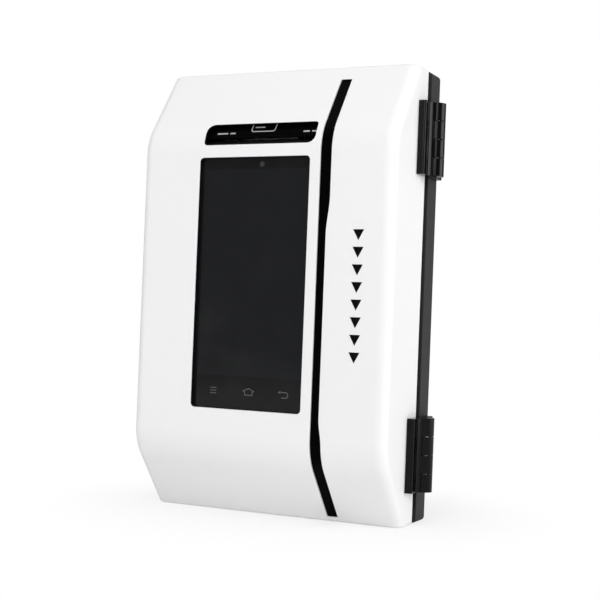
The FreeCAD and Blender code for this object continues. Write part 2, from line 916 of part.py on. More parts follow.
def knuckle(number):
    """Offsets of one of the four knuckles from the hinge's middle."""
    pitch = "(hinge_length + knuckle_gap) / 4"
    low = "-hinge_length / 2 + " + str(number) + " * " + pitch
    return low, low + " + " + pitch + " - knuckle_gap"


def make_hinge_leaf(name, middle, y0, y1, cleared, bore):
    """Flat leaf with a rounded run-up to its barrel; two knuckles are kept."""
    body = new_body(name)
    bottom = middle + " - hinge_length / 2"
    leaf = new_sketch(body, name + "_plate", "XY_Plane", bottom)
    add_loop(leaf, rectangle("case_width / 2", "case_width / 2 + leaf_thickness", y0, y1))
    pad(body, leaf, "hinge_length")
    barrel = new_sketch(body, name + "_barrel", "XY_Plane", bottom)
    add_circle(barrel, HINGE_X, HINGE_Y, "barrel_radius")
    pad(body, barrel, "hinge_length")
    face_x = size("case_width / 2 + leaf_thickness")
    round_edges(body, name + "_run_up", "leaf_fillet",
                lambda edge: runs_along(edge, Z_AXIS) and near(edge.BoundBox.XMin, face_x)
                and near(edge.CenterOfMass.y, size(HINGE_Y), size("hinge_out")))
    outer_y = y0 if name.startswith("hinge_leaf_cover") else y1
    round_edges(body, name + "_outer_edge", "leaf_edge_radius",
                lambda edge: runs_along(edge, Z_AXIS) and near(edge.BoundBox.XMin, face_x)
                and near(edge.CenterOfMass.y, size(outer_y)))
    for number in cleared:
        low, high = knuckle(number)
        gap = new_sketch(body, name + "_gap_" + str(number), "XY_Plane",
                         middle + " + " + high + " + knuckle_gap")
        add_circle(gap, HINGE_X, HINGE_Y, "barrel_radius + knuckle_sweep")
        pocket(body, gap, "(hinge_length + knuckle_gap) / 4 + knuckle_gap")
    hole = new_sketch(body, name + "_bore", "XY_Plane", middle + " + hinge_length / 2 + overcut")
    add_circle(hole, HINGE_X, HINGE_Y, bore)
    pocket(body, hole, "hinge_length + 2 * overcut")
    screw_y = COVER_SCREW_Y if name.startswith("hinge_leaf_cover") else TRAY_SCREW_Y
    screws = new_sketch(body, name + "_screw_holes", "YZ_Plane",
                        "case_width / 2 + leaf_thickness - thread_grip * 2")
    for end in (" - ", " + "):
        add_circle(screws, screw_y, middle + end + "hinge_screw_spread / 2", "screw_radius")
    pocket(body, screws, "leaf_thickness")
    return sub_part(body, name)


def make_hinges():
    for place in ("upper", "lower"):
        middle = "hinge_" + place + "_z"
        make_hinge_leaf("hinge_leaf_cover_" + place, middle, "-(tray_depth + leaf_front)",
                        "-(tray_depth + cover_leaf_gap)", (0, 2), "pin_radius + pin_clearance")
        make_hinge_leaf("hinge_leaf_tray_" + place, middle, "-(tray_depth - tray_leaf_gap)",
                        "-(tray_depth - leaf_rear)", (1, 3), "pin_radius")
    pins = [rod("z", HINGE_X, HINGE_Y, "hinge_" + place + "_z - hinge_length / 2 + pin_end",
                "pin_radius", "hinge_length - 2 * pin_end") for place in ("upper", "lower")]
    sub_part(group(pins), "hinge_pins")
    for name, screw_y in (("hinge_screws_cover", COVER_SCREW_Y),
                          ("hinge_screws_tray", TRAY_SCREW_Y)):
        screws = []
        for place in ("hinge_upper_z", "hinge_lower_z"):
            for end in (" - ", " + "):
                z = place + end + "hinge_screw_spread / 2"
                head = rod("x", "case_width / 2 - wall - hinge_head", screw_y, z,
                           "hinge_head_radius", "hinge_head")
                shank = rod("x", "case_width / 2 - wall - thread_grip", screw_y, z,
                            "screw_radius", "wall + leaf_thickness - hinge_screw_end")
                screws.append(joined([head, shank]))
        sub_part(group(screws), name)


# -------------------------------------------------------------------- lock

LOCK_OUT = "-case_width / 2"


def make_lock():
    flange = rod("x", LOCK_OUT + " - lock_flange", "lock_y", "0", "lock_radius + lock_rim",
                 "lock_flange")
    tube = rod("x", LOCK_OUT, "lock_y", "0", "lock_radius", "lock_tube")
    bore = rod("x", LOCK_OUT + " - lock_flange - overcut", "lock_y", "0",
               "plug_radius + plug_clearance", "lock_tube + lock_flange + 2 * overcut")
    sub_part(without(joined([flange, tube]), [bore]), "lock_barrel")
    nut_blank = doc.addObject("Part::Prism", "nut_blank")
    nut_blank.Polygon = NUT_SIDES
    nut_blank.Placement = FreeCAD.Placement(V(), TURNS["x"])
    bind(nut_blank, "Circumradius", "lock_radius + nut_rim")
    bind(nut_blank, "Height", "nut_thickness")
    for letter, value in (("x", LOCK_OUT + " + wall"), ("y", "lock_y"), ("z", "0")):
        bind(nut_blank, "Placement.Base." + letter, value)
    nut_bore = rod("x", LOCK_OUT, "lock_y", "0", "lock_radius", "wall + nut_thickness + overcut")
    sub_part(without(nut_blank, [nut_bore]), "lock_nut")
    # turning plug with its key slot; the cam is screwed to its inner end
    plug = rod("x", LOCK_OUT + " - plug_proud", "lock_y", "0", "plug_radius",
               "plug_proud + lock_tube + plug_end")
    slot = block(LOCK_OUT + " - plug_proud - overcut", LOCK_OUT + " + key_slot_depth",
                 "lock_y - key_slot_width / 2", "lock_y + key_slot_width / 2",
                 "-key_slot_height / 2", "key_slot_height / 2")
    tapped = rod("x", LOCK_OUT + " + plug_tap_start", "lock_y", "0", "screw_radius",
                 "lock_tube")
    sub_part(without(plug, [slot, tapped]), "lock_plug")
    cam_x = LOCK_OUT + " + lock_tube + plug_end"
    hub = rod("x", cam_x, "lock_y", "0", "cam_hub_radius", "cam_thickness")
    arm = block(cam_x, cam_x + " + cam_thickness", "lock_y", "lock_y + cam_length",
                "-cam_width / 2", "cam_width / 2")
    hole = rod("x", cam_x + " - overcut", "lock_y", "0", "screw_radius",
               "cam_thickness + 2 * overcut")
    sub_part(without(joined([hub, arm]), [hole]), "lock_cam")
    head = rod("x", cam_x + " + cam_thickness", "lock_y", "0", "cam_head_radius", "cam_head")
    shank = rod("x", cam_x + " - cam_screw_grip", "lock_y", "0", "screw_radius",
                "cam_thickness + cam_screw_grip + thread_grip")
    sub_part(joined([head, shank]), "lock_cam_screw")


NUT_SIDES = 6


def floor_screw(x, z, under, radius):
    """Screw into the tray floor; its head sits on a sheet of a thickness."""
    head = rod("y", x, "-wall - " + under + " - floor_head", z, radius, "floor_head")
    shank = rod("y", x, "-wall - " + under + " - thread_grip", z, "screw_radius",
                under + " + thread_grip")
    return joined([head, shank])


def make_lock_keeper():
    """Hooked bracket on the tray floor that the turned cam goes behind."""
    left = LOCK_OUT + " + keeper_start"
    right = left + " + keeper_width"
    middle = left + " + keeper_width / 2"
    low = "cam_length + keeper_clear"
    face = "lock_y - cam_width / 2 - keeper_gap"
    foot = block(left, right, "-wall - keeper_sheet", "-wall", low, low + " + keeper_foot")
    web = block(left, right, face + " - keeper_sheet", "-wall", low, low + " + keeper_sheet")
    hook = block(left, right, face + " - keeper_sheet", face, "cam_length / 2",
                 low + " + keeper_sheet")
    screw_z = low + " + keeper_screw_z"
    hole = rod("y", middle, "-wall - keeper_sheet - overcut", screw_z, "screw_radius",
               "keeper_sheet + 2 * overcut")
    sub_part(without(joined([foot, web, hook]), [hole]), "lock_keeper")
    sub_part(floor_screw(middle, screw_z, "keeper_sheet", "floor_head_radius"), "keeper_screw")


# -------------------------------------------------------- handheld terminal

TERM_LEFT = "term_x - term_width / 2"
TERM_RIGHT = "term_x + term_width / 2"


def make_terminal_front_shell():
    body = new_body("terminal_front_shell")
    side = new_sketch(body, "term_front_side", "YZ_Plane", "term_x")
    add_loop(side, [("term_split", "term_bottom"), ("term_front", "term_bottom"),
                    ("term_front", "term_front_top - slip_bevel"),
                    ("term_front + slip_bevel", "term_front_top"),
                    ("term_split", "term_front_top")])
    pad(body, side, "term_width", midplane=True)
    round_edges(body, "term_front_corners", "term_front_corner",
                lambda edge: runs_along(edge, Y_AXIS)
                and near(edge.CenterOfMass.z, size("term_bottom")))
    # recess for the glass, hole for the display, hollow behind
    recess = new_sketch(body, "glass_recess", "XZ_Plane", "-term_front + overcut")
    add_loop(recess, rectangle("screen_left - glass_margin - glass_gap",
                               "screen_right + glass_margin + glass_gap",
                               "screen_bottom - glass_margin - glass_gap",
                               "screen_top + glass_margin + glass_gap"))
    pocket(body, recess, "glass_seat + overcut")
    window = new_sketch(body, "display_hole", "XZ_Plane", "-term_front")
    add_loop(window, rectangle("display_left - part_gap", "display_right + part_gap",
                               "display_bottom - part_gap", "display_top + part_gap"))
    add_circle(window, CAMERA_X, CAMERA_Z, "camera_radius + part_gap")
    pocket(body, window, "2 * term_wall")
    hollow = new_sketch(body, "term_front_hollow", "XZ_Plane", "-term_split")
    add_loop(hollow, rectangle(TERM_LEFT + " + term_wall", TERM_RIGHT + " - term_wall",
                               "term_bottom + term_wall", "term_front_top + overcut"))
    pocket(body, hollow, "term_split - term_front - term_wall", backwards=True)
    # side holes for the two keys
    keys = new_sketch(body, "key_holes", "YZ_Plane", TERM_RIGHT + " + overcut")
    for low, high in KEYS.values():
        add_loop(keys, rectangle("key_front - key_gap", "key_back + key_gap",
                                 low + " - key_gap", high + " + key_gap"))
    pocket(body, keys, "term_wall + 2 * overcut")
    return sub_part(body, "terminal_front_shell")


CAMERA_X = "term_x + camera_x"
CAMERA_Z = "screen_top - camera_drop"
KEYS = {
    "power_key": ("top_bend - 54", "top_bend - 46"),
    "volume_key": ("top_bend - 40", "top_bend - 24"),
}


def make_keys():
    for name, (low, high) in KEYS.items():
        seat = TERM_RIGHT + " - term_wall - key_gap"
        cap = block(seat, TERM_RIGHT + " + key_proud", "key_front", "key_back", low, high)
        foot = block(seat + " - key_foot", seat, "key_front - key_foot", "key_back + key_foot",
                     low + " - key_foot", high + " + key_foot")
        sub_part(joined([cap, foot]), name)


def make_terminal_rear_shell():
    body = new_body("terminal_rear_shell")
    under_lid = "lid_depth + lid_thickness + lid_clear"
    top_y = ("(" + FRONT_Y + ") + ((term_top - top_bend) * cos(" + TOP_TURN + ") + "
             + under_lid + ") / sin(" + TOP_TURN + ")")
    low_z = "term_front_top + shell_gap"
    low_y = ("(" + FRONT_Y + ") + ((" + low_z + " - top_bend) * cos(" + TOP_TURN
             + ") + " + under_lid + ") / sin(" + TOP_TURN + ")")
    side = new_sketch(body, "term_rear_side", "YZ_Plane", "term_x")
    add_loop(side, [("term_split", "term_bottom"), ("term_thin_back", "term_bottom"),
                    ("term_thin_back", "hump_start"), ("term_back", "hump_end"),
                    ("term_back", "term_top"), (top_y, "term_top"), (low_y + " + rear_set_back", low_z),
                    ("term_split", low_z)])
    pad(body, side, "term_width", midplane=True)
    round_edges(body, "term_rear_corners", "term_rear_corner",
                lambda edge: runs_along(edge, Y_AXIS) and near(edge.BoundBox.ZMin,
                                                               size("term_bottom")))
    hollow = new_sketch(body, "term_rear_hollow", "YZ_Plane", "term_x")
    lean = "(hump_end - hump_start) / (term_back - term_thin_back)"
    add_loop(hollow, [("term_front", "term_bottom + term_wall"),
                      ("term_thin_back - term_wall", "term_bottom + term_wall"),
                      ("term_thin_back - term_wall", "hump_start + lean_gap"),
                      ("term_back - term_wall",
                       "hump_start + lean_gap + (term_back - term_thin_back) * " + lean),
                      ("term_back - term_wall", "term_top - term_wall"),
                      ("term_front", "term_top - term_wall")])
    pocket(body, hollow, "term_width - 2 * term_wall", midplane=True)
    return sub_part(body, "terminal_rear_shell")


def make_touch_glass():
    body = new_body("touch_glass")
    outline = new_sketch(body, "glass_outline", "XZ_Plane",
                         "-term_front + glass_proud - glass_thickness")
    add_loop(outline, rectangle("screen_left - glass_margin", "screen_right + glass_margin",
                                "screen_bottom - glass_margin", "screen_top + glass_margin"))
    pad(body, outline, "glass_thickness")
    round_edges(body, "glass_corners", "glass_gap", lambda edge: runs_along(edge, Y_AXIS))
    return sub_part(body, "touch_glass")


# centre across and up from the board's middle, width, height and thickness
CHIPS = (
    (-24, 40, 14, 14, 1.6),
    (-2, 42, 12, 10, 1.4),
    (16, 40, 9, 9, 1.2),
    (-26, -66, 10, 8, 1.5),
    (-4, -66, 9, 7, 2.4),
    (18, -64, 12, 8, 1.5),
)
CHIP_ORIGIN_DROP = 90


def make_terminal_electronics():
    behind_glass = "term_front - glass_proud + glass_thickness"
    display = block("display_left", "display_right", behind_glass,
                    behind_glass + " + display_thickness", "display_bottom", "display_top")
    sub_part(display, "display_panel")
    board_y = "term_front + term_wall + board_gap"
    board_back = board_y + " + board_thickness"
    board = block("term_x - board_half_width", "term_x + board_half_width", board_y, board_back,
                  "term_bottom + board_bottom", "top_bend - board_top_drop")
    sub_part(board, "main_board")
    chips = []
    for across, up, wide, tall, thick in CHIPS:
        x = "term_x + " + str(across)
        z = "top_bend + " + str(up - CHIP_ORIGIN_DROP)
        chips.append(block(x + " - " + str(wide / 2), x + " + " + str(wide / 2),
                           board_back, board_back + " + " + str(thick),
                           z + " - " + str(tall / 2), z + " + " + str(tall / 2)))
    sub_part(group(chips), "board_chips")
    battery_back = "term_thin_back - term_wall - key_gap"
    battery = block("term_x - battery_half_width", "term_x + battery_half_width",
                    battery_back + " - battery_thickness", battery_back,
                    "term_bottom + battery_bottom", "hump_start - battery_top")
    sub_part(battery, "battery_pack")
    camera = rod("y", CAMERA_X, behind_glass + " + camera_gap", CAMERA_Z, "camera_radius",
                 "camera_length")
    sub_part(camera, "camera_module")
    speaker_x = "term_x - speaker_x"
    speaker_z = "term_bottom + speaker_z"
    rim = rod("y", speaker_x, "speaker_back - speaker_rim", speaker_z, "speaker_rim_radius",
              "speaker_rim")
    cone = rod("y", speaker_x, "speaker_back - speaker_rim - speaker_cone", speaker_z,
               "speaker_cone_radius", "speaker_cone + speaker_rim / 2")
    sub_part(joined([rim, cone]), "speaker")


def lid_band(depth, thickness, x0, x1, z0, z1):
    """Part of the layer at a depth under the cover's skin."""
    span = size("2 * case_width")
    layer = cover_form(depth, span).cut(cover_form(depth + thickness, span + 1))
    keep = Part.makeBox(x1 - x0, size("cover_depth"), z1 - z0,
                        V(x0, size(FRONT_Y + " - overcut"), z0))
    return layer.common(keep)


def make_printer_lid():
    """Lid that follows the cover's upper slope just under its skin."""
    depth = size("lid_depth")
    thickness = size("lid_thickness")
    shell = lid_band(depth, thickness, size(TERM_LEFT + " + lid_side_gap"),
                     size(TERM_RIGHT + " - lid_side_gap"), size("lid_start"), size("term_top"))
    pin_z = size("term_top - lid_pin_drop")
    turn = math.atan(size("top_rise") / size(RUN))
    pin_depth = depth + thickness + size("lid_pin_depth")
    rise = (pin_z - size("top_bend")) * math.cos(turn)
    pin_y = size(FRONT_Y) + (rise + pin_depth) / math.sin(turn)
    lug_width = size("lid_lug_width")
    for start in (size(TERM_LEFT + " + term_wall + lid_side_gap"),
                  size(TERM_RIGHT + " - term_wall - lid_side_gap - lid_lug_width")):
        lug = Part.makeCylinder(size("lid_lug_radius"), lug_width, V(start, pin_y, pin_z), X_AXIS)
        shell = shell.fuse(lug)
    length = size("term_width - 2 * term_wall")
    pin_start = V(size(TERM_LEFT + " + term_wall"), pin_y, pin_z)
    pin = Part.makeCylinder(size("lid_pin_radius"), length, pin_start, X_AXIS)
    sub_part(formed(shell.cut(pin).removeSplitter(), "printer_lid"), "printer_lid")
    sub_part(formed(pin, "lid_hinge_pin"), "lid_hinge_pin")
    coil = lid_band(depth + thickness, size("antenna_thickness"),
                    size("term_x - antenna_half_width"), size("term_x + antenna_half_width"),
                    size("lid_start + antenna_bottom"), size("term_top - antenna_top"))
    sub_part(formed(coil, "contactless_antenna"), "contactless_antenna")


# ----------------------------------------------------------------- printer

PAPER_RIGHT = "paper_left + paper_width"


def gear_shape(teeth, module, thickness, bore):
    """Spur gear with thinned straight-sided teeth, axis along +X."""
    pitch_r = teeth * module / 2
    points = []
    for tooth in range(teeth):
        middle = 2 * math.pi * tooth / teeth
        step = 2 * math.pi / teeth
        for share, radius in ((-0.34, pitch_r - 1.15 * module), (-0.20, pitch_r),
                              (-0.09, pitch_r + 0.9 * module), (0.09, pitch_r + 0.9 * module),
                              (0.20, pitch_r), (0.34, pitch_r - 1.15 * module)):
            angle = middle + share * step
            points.append(V(0, radius * math.cos(angle), radius * math.sin(angle)))
    blank = Part.Face(Part.makePolygon(points + points[:1])).extrude(V(thickness, 0, 0))
    return blank.cut(Part.makeCylinder(bore, thickness + 2, V(-1, 0, 0), X_AXIS))


FRAME_LEFT = "paper_left - frame_left_gap"
FRAME_RIGHT = PAPER_RIGHT + " + frame_right_gap"
MESH_DROP = "(platen_teeth + pinion_teeth) * gear_module / 2 + gear_backlash"
MOTOR_Y = "platen_y + motor_set_back"
MOTOR_Z = "platen_z - sqrt((" + MESH_DROP + ")^2 - motor_set_back^2)"
ALL_ACROSS = ("-case_width / 2", "case_width")


def make_printer_frame():
    """Two side plates joined by the bucket under the paper roll."""
    plates = []
    for start in (FRAME_LEFT + " - frame_plate", FRAME_RIGHT):
        plates.append(block(start, start + " + frame_plate", "platen_y - frame_front",
                            "term_back - frame_back", "roll_z - roll_radius - frame_low",
                            "platen_z + frame_high"))
    start = FRAME_LEFT + " - bucket_end"
    length = "paper_width + frame_left_gap + frame_right_gap + 2 * bucket_end"
    outer = rod("x", start, "roll_y", "roll_z", "roll_radius + bucket_gap + bucket_wall", length)
    inner = rod("x", start + " - overcut", "roll_y", "roll_z", "roll_radius + bucket_gap",
                length + " + 2 * overcut")
    upper = block(start + " - overcut", FRAME_RIGHT + " + overcut",
                  "roll_y - 2 * roll_radius", "roll_y + 2 * roll_radius",
                  "roll_z - bucket_rim_drop", "roll_z + 2 * roll_radius")
    bucket = without(outer, [inner, upper], "bucket")
    frame = joined(plates + [bucket], "printer_plates")
    # the plates stay under the lid
    turn = math.atan(size("top_rise") / size(RUN))
    corner = V(size(ALL_ACROSS[0]), size(FRONT_Y), size("top_bend"))
    depth = size("lid_depth + lid_thickness + frame_under_lid")
    reach = size("cover_depth")
    cutter = Part.makeBox(size("case_width"), 3 * reach, reach, V(0, -reach, 0))
    cutter.rotate(V(), X_AXIS, math.degrees(turn))
    cutter.translate(corner + V(0, math.sin(turn), -math.cos(turn)) * depth)
    over = formed(cutter, "over_lid_space")
    start, length = ALL_ACROSS
    shaft_hole = rod("x", start, "platen_y", "platen_z", "shaft_radius + shaft_play", length)
    roll_hole = rod("x", start, "roll_y", "roll_z", "core_radius - spool_rim", length)
    motor_hole = rod("x", "0", MOTOR_Y, MOTOR_Z, "motor_hole_radius", "case_width / 2")
    sub_part(without(frame, [over, shaft_hole, roll_hole, motor_hole]), "printer_frame")


def placed_gear(name, teeth, bore, y, z, turned):
    """Gear whose left face stands clear of the motor's end."""
    gear = formed(gear_shape(int(size(teeth)), size("gear_module"), size("gear_width"), bore), name)
    x = size(FRAME_RIGHT + " + frame_plate + motor_length + gear_start")
    gear.Placement = FreeCAD.Placement(V(x, size(y), size(z)), FreeCAD.Rotation(X_AXIS, turned))
    sub_part(gear, name)


def make_platen():
    """Rubber sleeve on a steel shaft with a gear on its right-hand end."""
    start = FRAME_LEFT + " - frame_plate"
    end = FRAME_RIGHT + " + frame_plate + motor_length + shaft_tail"
    shaft = rod("x", start, "platen_y", "platen_z", "shaft_radius",
                "(" + end + ") - (" + start + ")")
    sub_part(shaft, "platen_shaft")
    sleeve = rod("x", "paper_left - sleeve_over", "platen_y", "platen_z", "platen_radius",
                 "paper_width + 2 * sleeve_over")
    bore = rod("x", "paper_left - sleeve_over - overcut", "platen_y", "platen_z",
               "shaft_radius", "paper_width + 2 * sleeve_over + 2 * overcut")
    sub_part(without(sleeve, [bore]), "platen_roller")


def make_feed_drive():
    """Motor under the platen and the pair of gears that joins them."""
    mesh_angle = math.degrees(math.atan2(size(MOTOR_Z + " - platen_z"), size("motor_set_back")))
    half_tooth = 180.0 / size("pinion_teeth")
    placed_gear("platen_gear", "platen_teeth", size("shaft_radius"), "platen_y", "platen_z",
                mesh_angle)
    placed_gear("motor_pinion", "pinion_teeth", size("motor_shaft_radius"), MOTOR_Y, MOTOR_Z,
                mesh_angle + 180 + half_tooth)
    motor_x = FRAME_RIGHT + " + frame_plate"
    can = rod("x", motor_x, MOTOR_Y, MOTOR_Z, "motor_radius", "motor_length")
    seat = rod("x", motor_x + " + motor_length - motor_seat", MOTOR_Y, MOTOR_Z,
               "motor_seat_radius", "motor_seat + overcut")
    sub_part(without(can, [seat]), "feed_motor")
    stub = rod("x", motor_x + " + motor_length - motor_seat + overcut", MOTOR_Y, MOTOR_Z,
               "motor_shaft_radius", "motor_stub")
    sub_part(stub, "motor_shaft")


def make_paper_parts():
    """Print head, tear bar, and the paper on its core between two spool hubs."""
    head_y = "platen_y + platen_radius + head_gap"
    head = block("paper_left", PAPER_RIGHT, head_y, head_y + " + head_thickness",
                 "platen_z - head_low", "platen_z + head_high")
    sub_part(head, "print_head")
    tear_y = "term_front + term_wall"
    tear = block("paper_left", PAPER_RIGHT, tear_y, tear_y + " + tear_thickness",
                 "term_front_top - shell_gap - tear_height", "term_front_top - shell_gap")
    sub_part(tear, "tear_bar")
    paper = rod("x", "paper_left", "roll_y", "roll_z", "roll_radius", "paper_width")
    hole = rod("x", "paper_left - overcut", "roll_y", "roll_z", "core_radius",
               "paper_width + 2 * overcut")
    sub_part(without(paper, [hole]), "paper_roll")
    tube = rod("x", "paper_left", "roll_y", "roll_z", "core_radius", "paper_width")
    tube_bore = rod("x", "paper_left - overcut", "roll_y", "roll_z", "core_radius - spool_wall",
                    "paper_width + 2 * overcut")
    sub_part(without(tube, [tube_bore]), "paper_core")
    hubs = []
    for flange_start, hub_start, reach in (
            (FRAME_LEFT + " - frame_plate", FRAME_LEFT, "frame_left_gap + spool_reach"),
            (FRAME_RIGHT, FRAME_RIGHT + " - frame_right_gap - spool_reach",
             "frame_right_gap + spool_reach")):
        hub = rod("x", hub_start, "roll_y", "roll_z", "core_radius - spool_wall - shaft_play",
                  reach)
        base = rod("x", flange_start, "roll_y", "roll_z", "core_radius - spool_rim",
                   "frame_plate")
        hubs.append(joined([hub, base]))
    sub_part(group(hubs), "spool_hubs")


# ------------------------------------------------- cradle and tray contents

STANDOFFS = [(x, z)
             for x in ("term_x - standoff_out", "term_x + standoff_out")
             for z in ("term_bottom + standoff_low", "term_bottom + standoff_high")]
THUMBS = ("term_bottom + thumb_low", "term_bottom + thumb_high")
CRADLE_LEFT = TERM_LEFT + " - grip_gap"
CRADLE_RIGHT = TERM_RIGHT + " + grip_gap"
CRADLE_OUTER = CRADLE_LEFT + " - cradle_sheet"
CRADLE_BACK = "term_thin_back + plate_gap"
CRADLE_FLOOR = "term_bottom - cradle_low"


def make_cradle():
    """Folded sheet that holds the terminal: plate, two cheeks and a shelf."""
    outer_right = CRADLE_RIGHT + " + cradle_sheet"
    front = "term_front + cheek_front"
    cheek_top = "term_bottom + cheek_height"
    plate = block(CRADLE_OUTER, outer_right, CRADLE_BACK, CRADLE_BACK + " + cradle_sheet",
                  CRADLE_FLOOR, "cradle_top")
    left_cheek = block(CRADLE_OUTER, CRADLE_LEFT, front, CRADLE_BACK, CRADLE_FLOOR, cheek_top)
    right_cheek = block(CRADLE_RIGHT, outer_right, front, CRADLE_BACK, CRADLE_FLOOR, cheek_top)
    shelf = block(CRADLE_OUTER, outer_right, front, CRADLE_BACK,
                  CRADLE_FLOOR, "term_bottom - grip_gap")
    notch = block("term_x + notch_left", "term_x + notch_right", "notch_front", "notch_back",
                  CRADLE_FLOOR + " - overcut", "term_bottom")
    window = block("term_x - back_window_half", "term_x + back_window_half",
                   CRADLE_BACK + " - overcut", CRADLE_BACK + " + cradle_sheet + overcut",
                   "term_bottom + back_window_low", cheek_top)
    cuts = [notch, window]
    for x, z in STANDOFFS:
        cuts.append(rod("y", x, CRADLE_BACK + " - overcut", z, "standoff_bore",
                        "cradle_sheet + 2 * overcut"))
    for z in THUMBS:
        cuts.append(rod("x", CRADLE_OUTER + " - overcut", "thumb_y", z, "thumb_thread",
                        "cradle_sheet + 2 * overcut"))
    sub_part(without(joined([plate, left_cheek, right_cheek, shelf]), cuts), "terminal_cradle")


def make_cradle_fixings():
    """Four posts with their screws, two thumbscrews, and the rest for the terminal's top."""
    posts = []
    screws = []
    foot = CRADLE_BACK + " + cradle_sheet"
    for x, z in STANDOFFS:
        post = rod("y", x, foot, z, "standoff_radius", "-wall - (" + foot + ")")
        bore = rod("y", x, CRADLE_BACK, z, "standoff_bore", "standoff_thread + 2 * overcut")
        posts.append(without(post, [bore]))
        head = rod("y", x, CRADLE_BACK + " - standoff_head", z, "standoff_head_radius",
                   "standoff_head")
        shank = rod("y", x, CRADLE_BACK + " - standoff_head / 2", z, "standoff_bore",
                    "standoff_thread")
        screws.append(joined([head, shank]))
    sub_part(group(posts), "cradle_standoffs")
    sub_part(group(screws), "cradle_screws")
    thumbs = []
    for z in THUMBS:
        knob = rod("x", CRADLE_OUTER + " - thumb_head", "thumb_y", z, "thumb_radius", "thumb_head")
        shank = rod("x", CRADLE_OUTER + " - thumb_head / 2", "thumb_y", z, "thumb_thread",
                    "thumb_head / 2 + cradle_sheet + grip_gap")
        thumbs.append(joined([knob, shank]))
    sub_part(group(thumbs), "cradle_thumbscrews")
    low = "hump_end + rest_low"
    high = low + " + rest_height"
    rest = [block(CRADLE_LEFT, CRADLE_RIGHT, "term_back", "term_back + rest_thickness", low, high)]
    for x in ("term_x - rest_out", "term_x + rest_out"):
        rest.append(block(x + " - rest_leg", x + " + rest_leg", "term_back + rest_step", "-wall",
                          low + " + rest_step", high + " - rest_step"))
    sub_part(joined(rest), "upper_rest")


LAMPS_LOW = "arrow_first_top - arrow_pitch * (arrow_count - 1) - arrow_height - lamp_end"
LAMPS_HIGH = "arrow_first_top + lamp_end"
BOARD_Y = FRONT_Y + " + wall + lamp_behind"
BOARD_BACK = BOARD_Y + " + lamp_board"


def make_guide_light():
    """Lamp board behind the triangles, on a folded bracket off the tray floor."""
    left = "arrow_x - bracket_half"
    right = "arrow_x + lamp_board_half"
    board = block("arrow_x - lamp_board_half", right, BOARD_Y, BOARD_BACK, LAMPS_LOW, LAMPS_HIGH)
    sub_part(board, "guide_light_board")
    lamps = []
    for number in range(int(size("arrow_count"))):
        z = "arrow_first_top - arrow_height * lamp_drop - arrow_pitch * " + str(number)
        lamps.append(block("arrow_x - lamp_half", "arrow_x + lamp_half",
                           BOARD_Y + " - lamp_height", BOARD_Y,
                           z + " - lamp_half", z + " + lamp_half"))
    sub_part(group(lamps), "guide_leds")
    face = block(left, right, BOARD_BACK, BOARD_BACK + " + bracket_sheet", LAMPS_LOW, LAMPS_HIGH)
    web = block(left + " - bracket_sheet", left, BOARD_BACK, "-wall", LAMPS_LOW, LAMPS_HIGH)
    foot = block(left + " - bracket_sheet", right, "-wall - bracket_sheet", "-wall",
                 LAMPS_LOW, LAMPS_HIGH)
    relief = block(left + " - bracket_sheet - overcut", left + " + overcut",
                   "bracket_relief_front", "bracket_relief_back",
                   LAMPS_LOW + " + bracket_relief_end", LAMPS_HIGH + " - bracket_relief_end")
    cuts = [relief]
    screws = []
    for z in (LAMPS_LOW + " + bracket_screw_end", LAMPS_HIGH + " - bracket_screw_end"):
        cuts.append(rod("y", "arrow_x", "-wall - bracket_sheet - overcut", z, "bracket_hole",
                        "bracket_sheet + 2 * overcut"))
        head = rod("y", "arrow_x", "-wall - bracket_sheet - bracket_head", z,
                   "bracket_head_radius", "bracket_head")
        shank = rod("y", "arrow_x", "-wall - bracket_head", z, "bracket_hole", "bracket_head")
        screws.append(joined([head, shank]))
    sub_part(without(joined([face, web, foot]), cuts), "light_bracket")
    sub_part(group(screws), "bracket_screws")


LEAD_Y = "-wall - lead_radius - lead_lift"


def make_power_module():
    """Sealed supply with a lid, cooling ribs and the outlet of the lead."""
    case = block("module_left", "module_right", "module_front", "-wall",
                 "module_bottom", "module_top")
    lid = block("module_left + module_step", "module_right - module_step",
                "module_front - module_lid", "module_front",
                "module_bottom + module_step", "module_top - module_step")
    ribs = []
    count = int(size("(module_top - module_bottom - rib_first) / rib_pitch"))
    for number in range(count):
        z = "module_bottom + rib_first + rib_pitch * " + str(number)
        ribs.append(block("module_left + rib_step", "module_right - rib_step",
                          "module_front - module_lid - rib_height", "module_front",
                          z, z + " + rib_width"))
    outlet = rod("x", "module_left - outlet_length", LEAD_Y, "lead_z", "lead_radius + outlet_wall",
                 "outlet_length + overcut / 2")
    bore = rod("x", "module_left - outlet_length - overcut", LEAD_Y, "lead_z", "lead_radius",
               "2 * outlet_length")
    sub_part(without(joined([case, lid, outlet] + ribs), [bore]), "power_module")


def make_terminal_block():
    """Three screwed mains terminals beside the power module."""
    base = block("terminals_left", "terminals_right", "terminals_front", "-wall",
                 "terminals_bottom", "terminals_top")
    middle = "(terminals_bottom + terminals_top) / 2"
    wells = []
    screws = []
    for number in range(3):
        x = "terminals_left + terminal_first + terminal_pitch * " + str(number)
        wells.append(rod("y", x, "terminals_front - overcut", middle, "terminal_well",
                         "terminal_well_depth + overcut"))
        head = rod("y", x, "terminals_front + terminal_sunk", middle, "terminal_well",
                   "terminal_well_depth - terminal_sunk")
        slot = block(x + " - terminal_slot / 2", x + " + terminal_slot / 2",
                     "terminals_front", "terminals_front + terminal_sunk + terminal_slot_depth",
                     middle + " - terminal_well - overcut", middle + " + terminal_well + overcut")
        screws.append(without(head, [slot]))
    sub_part(without(base, wells), "terminal_block")
    sub_part(group(screws), "terminal_block_screws")


PORT_X = "term_x + port_x"


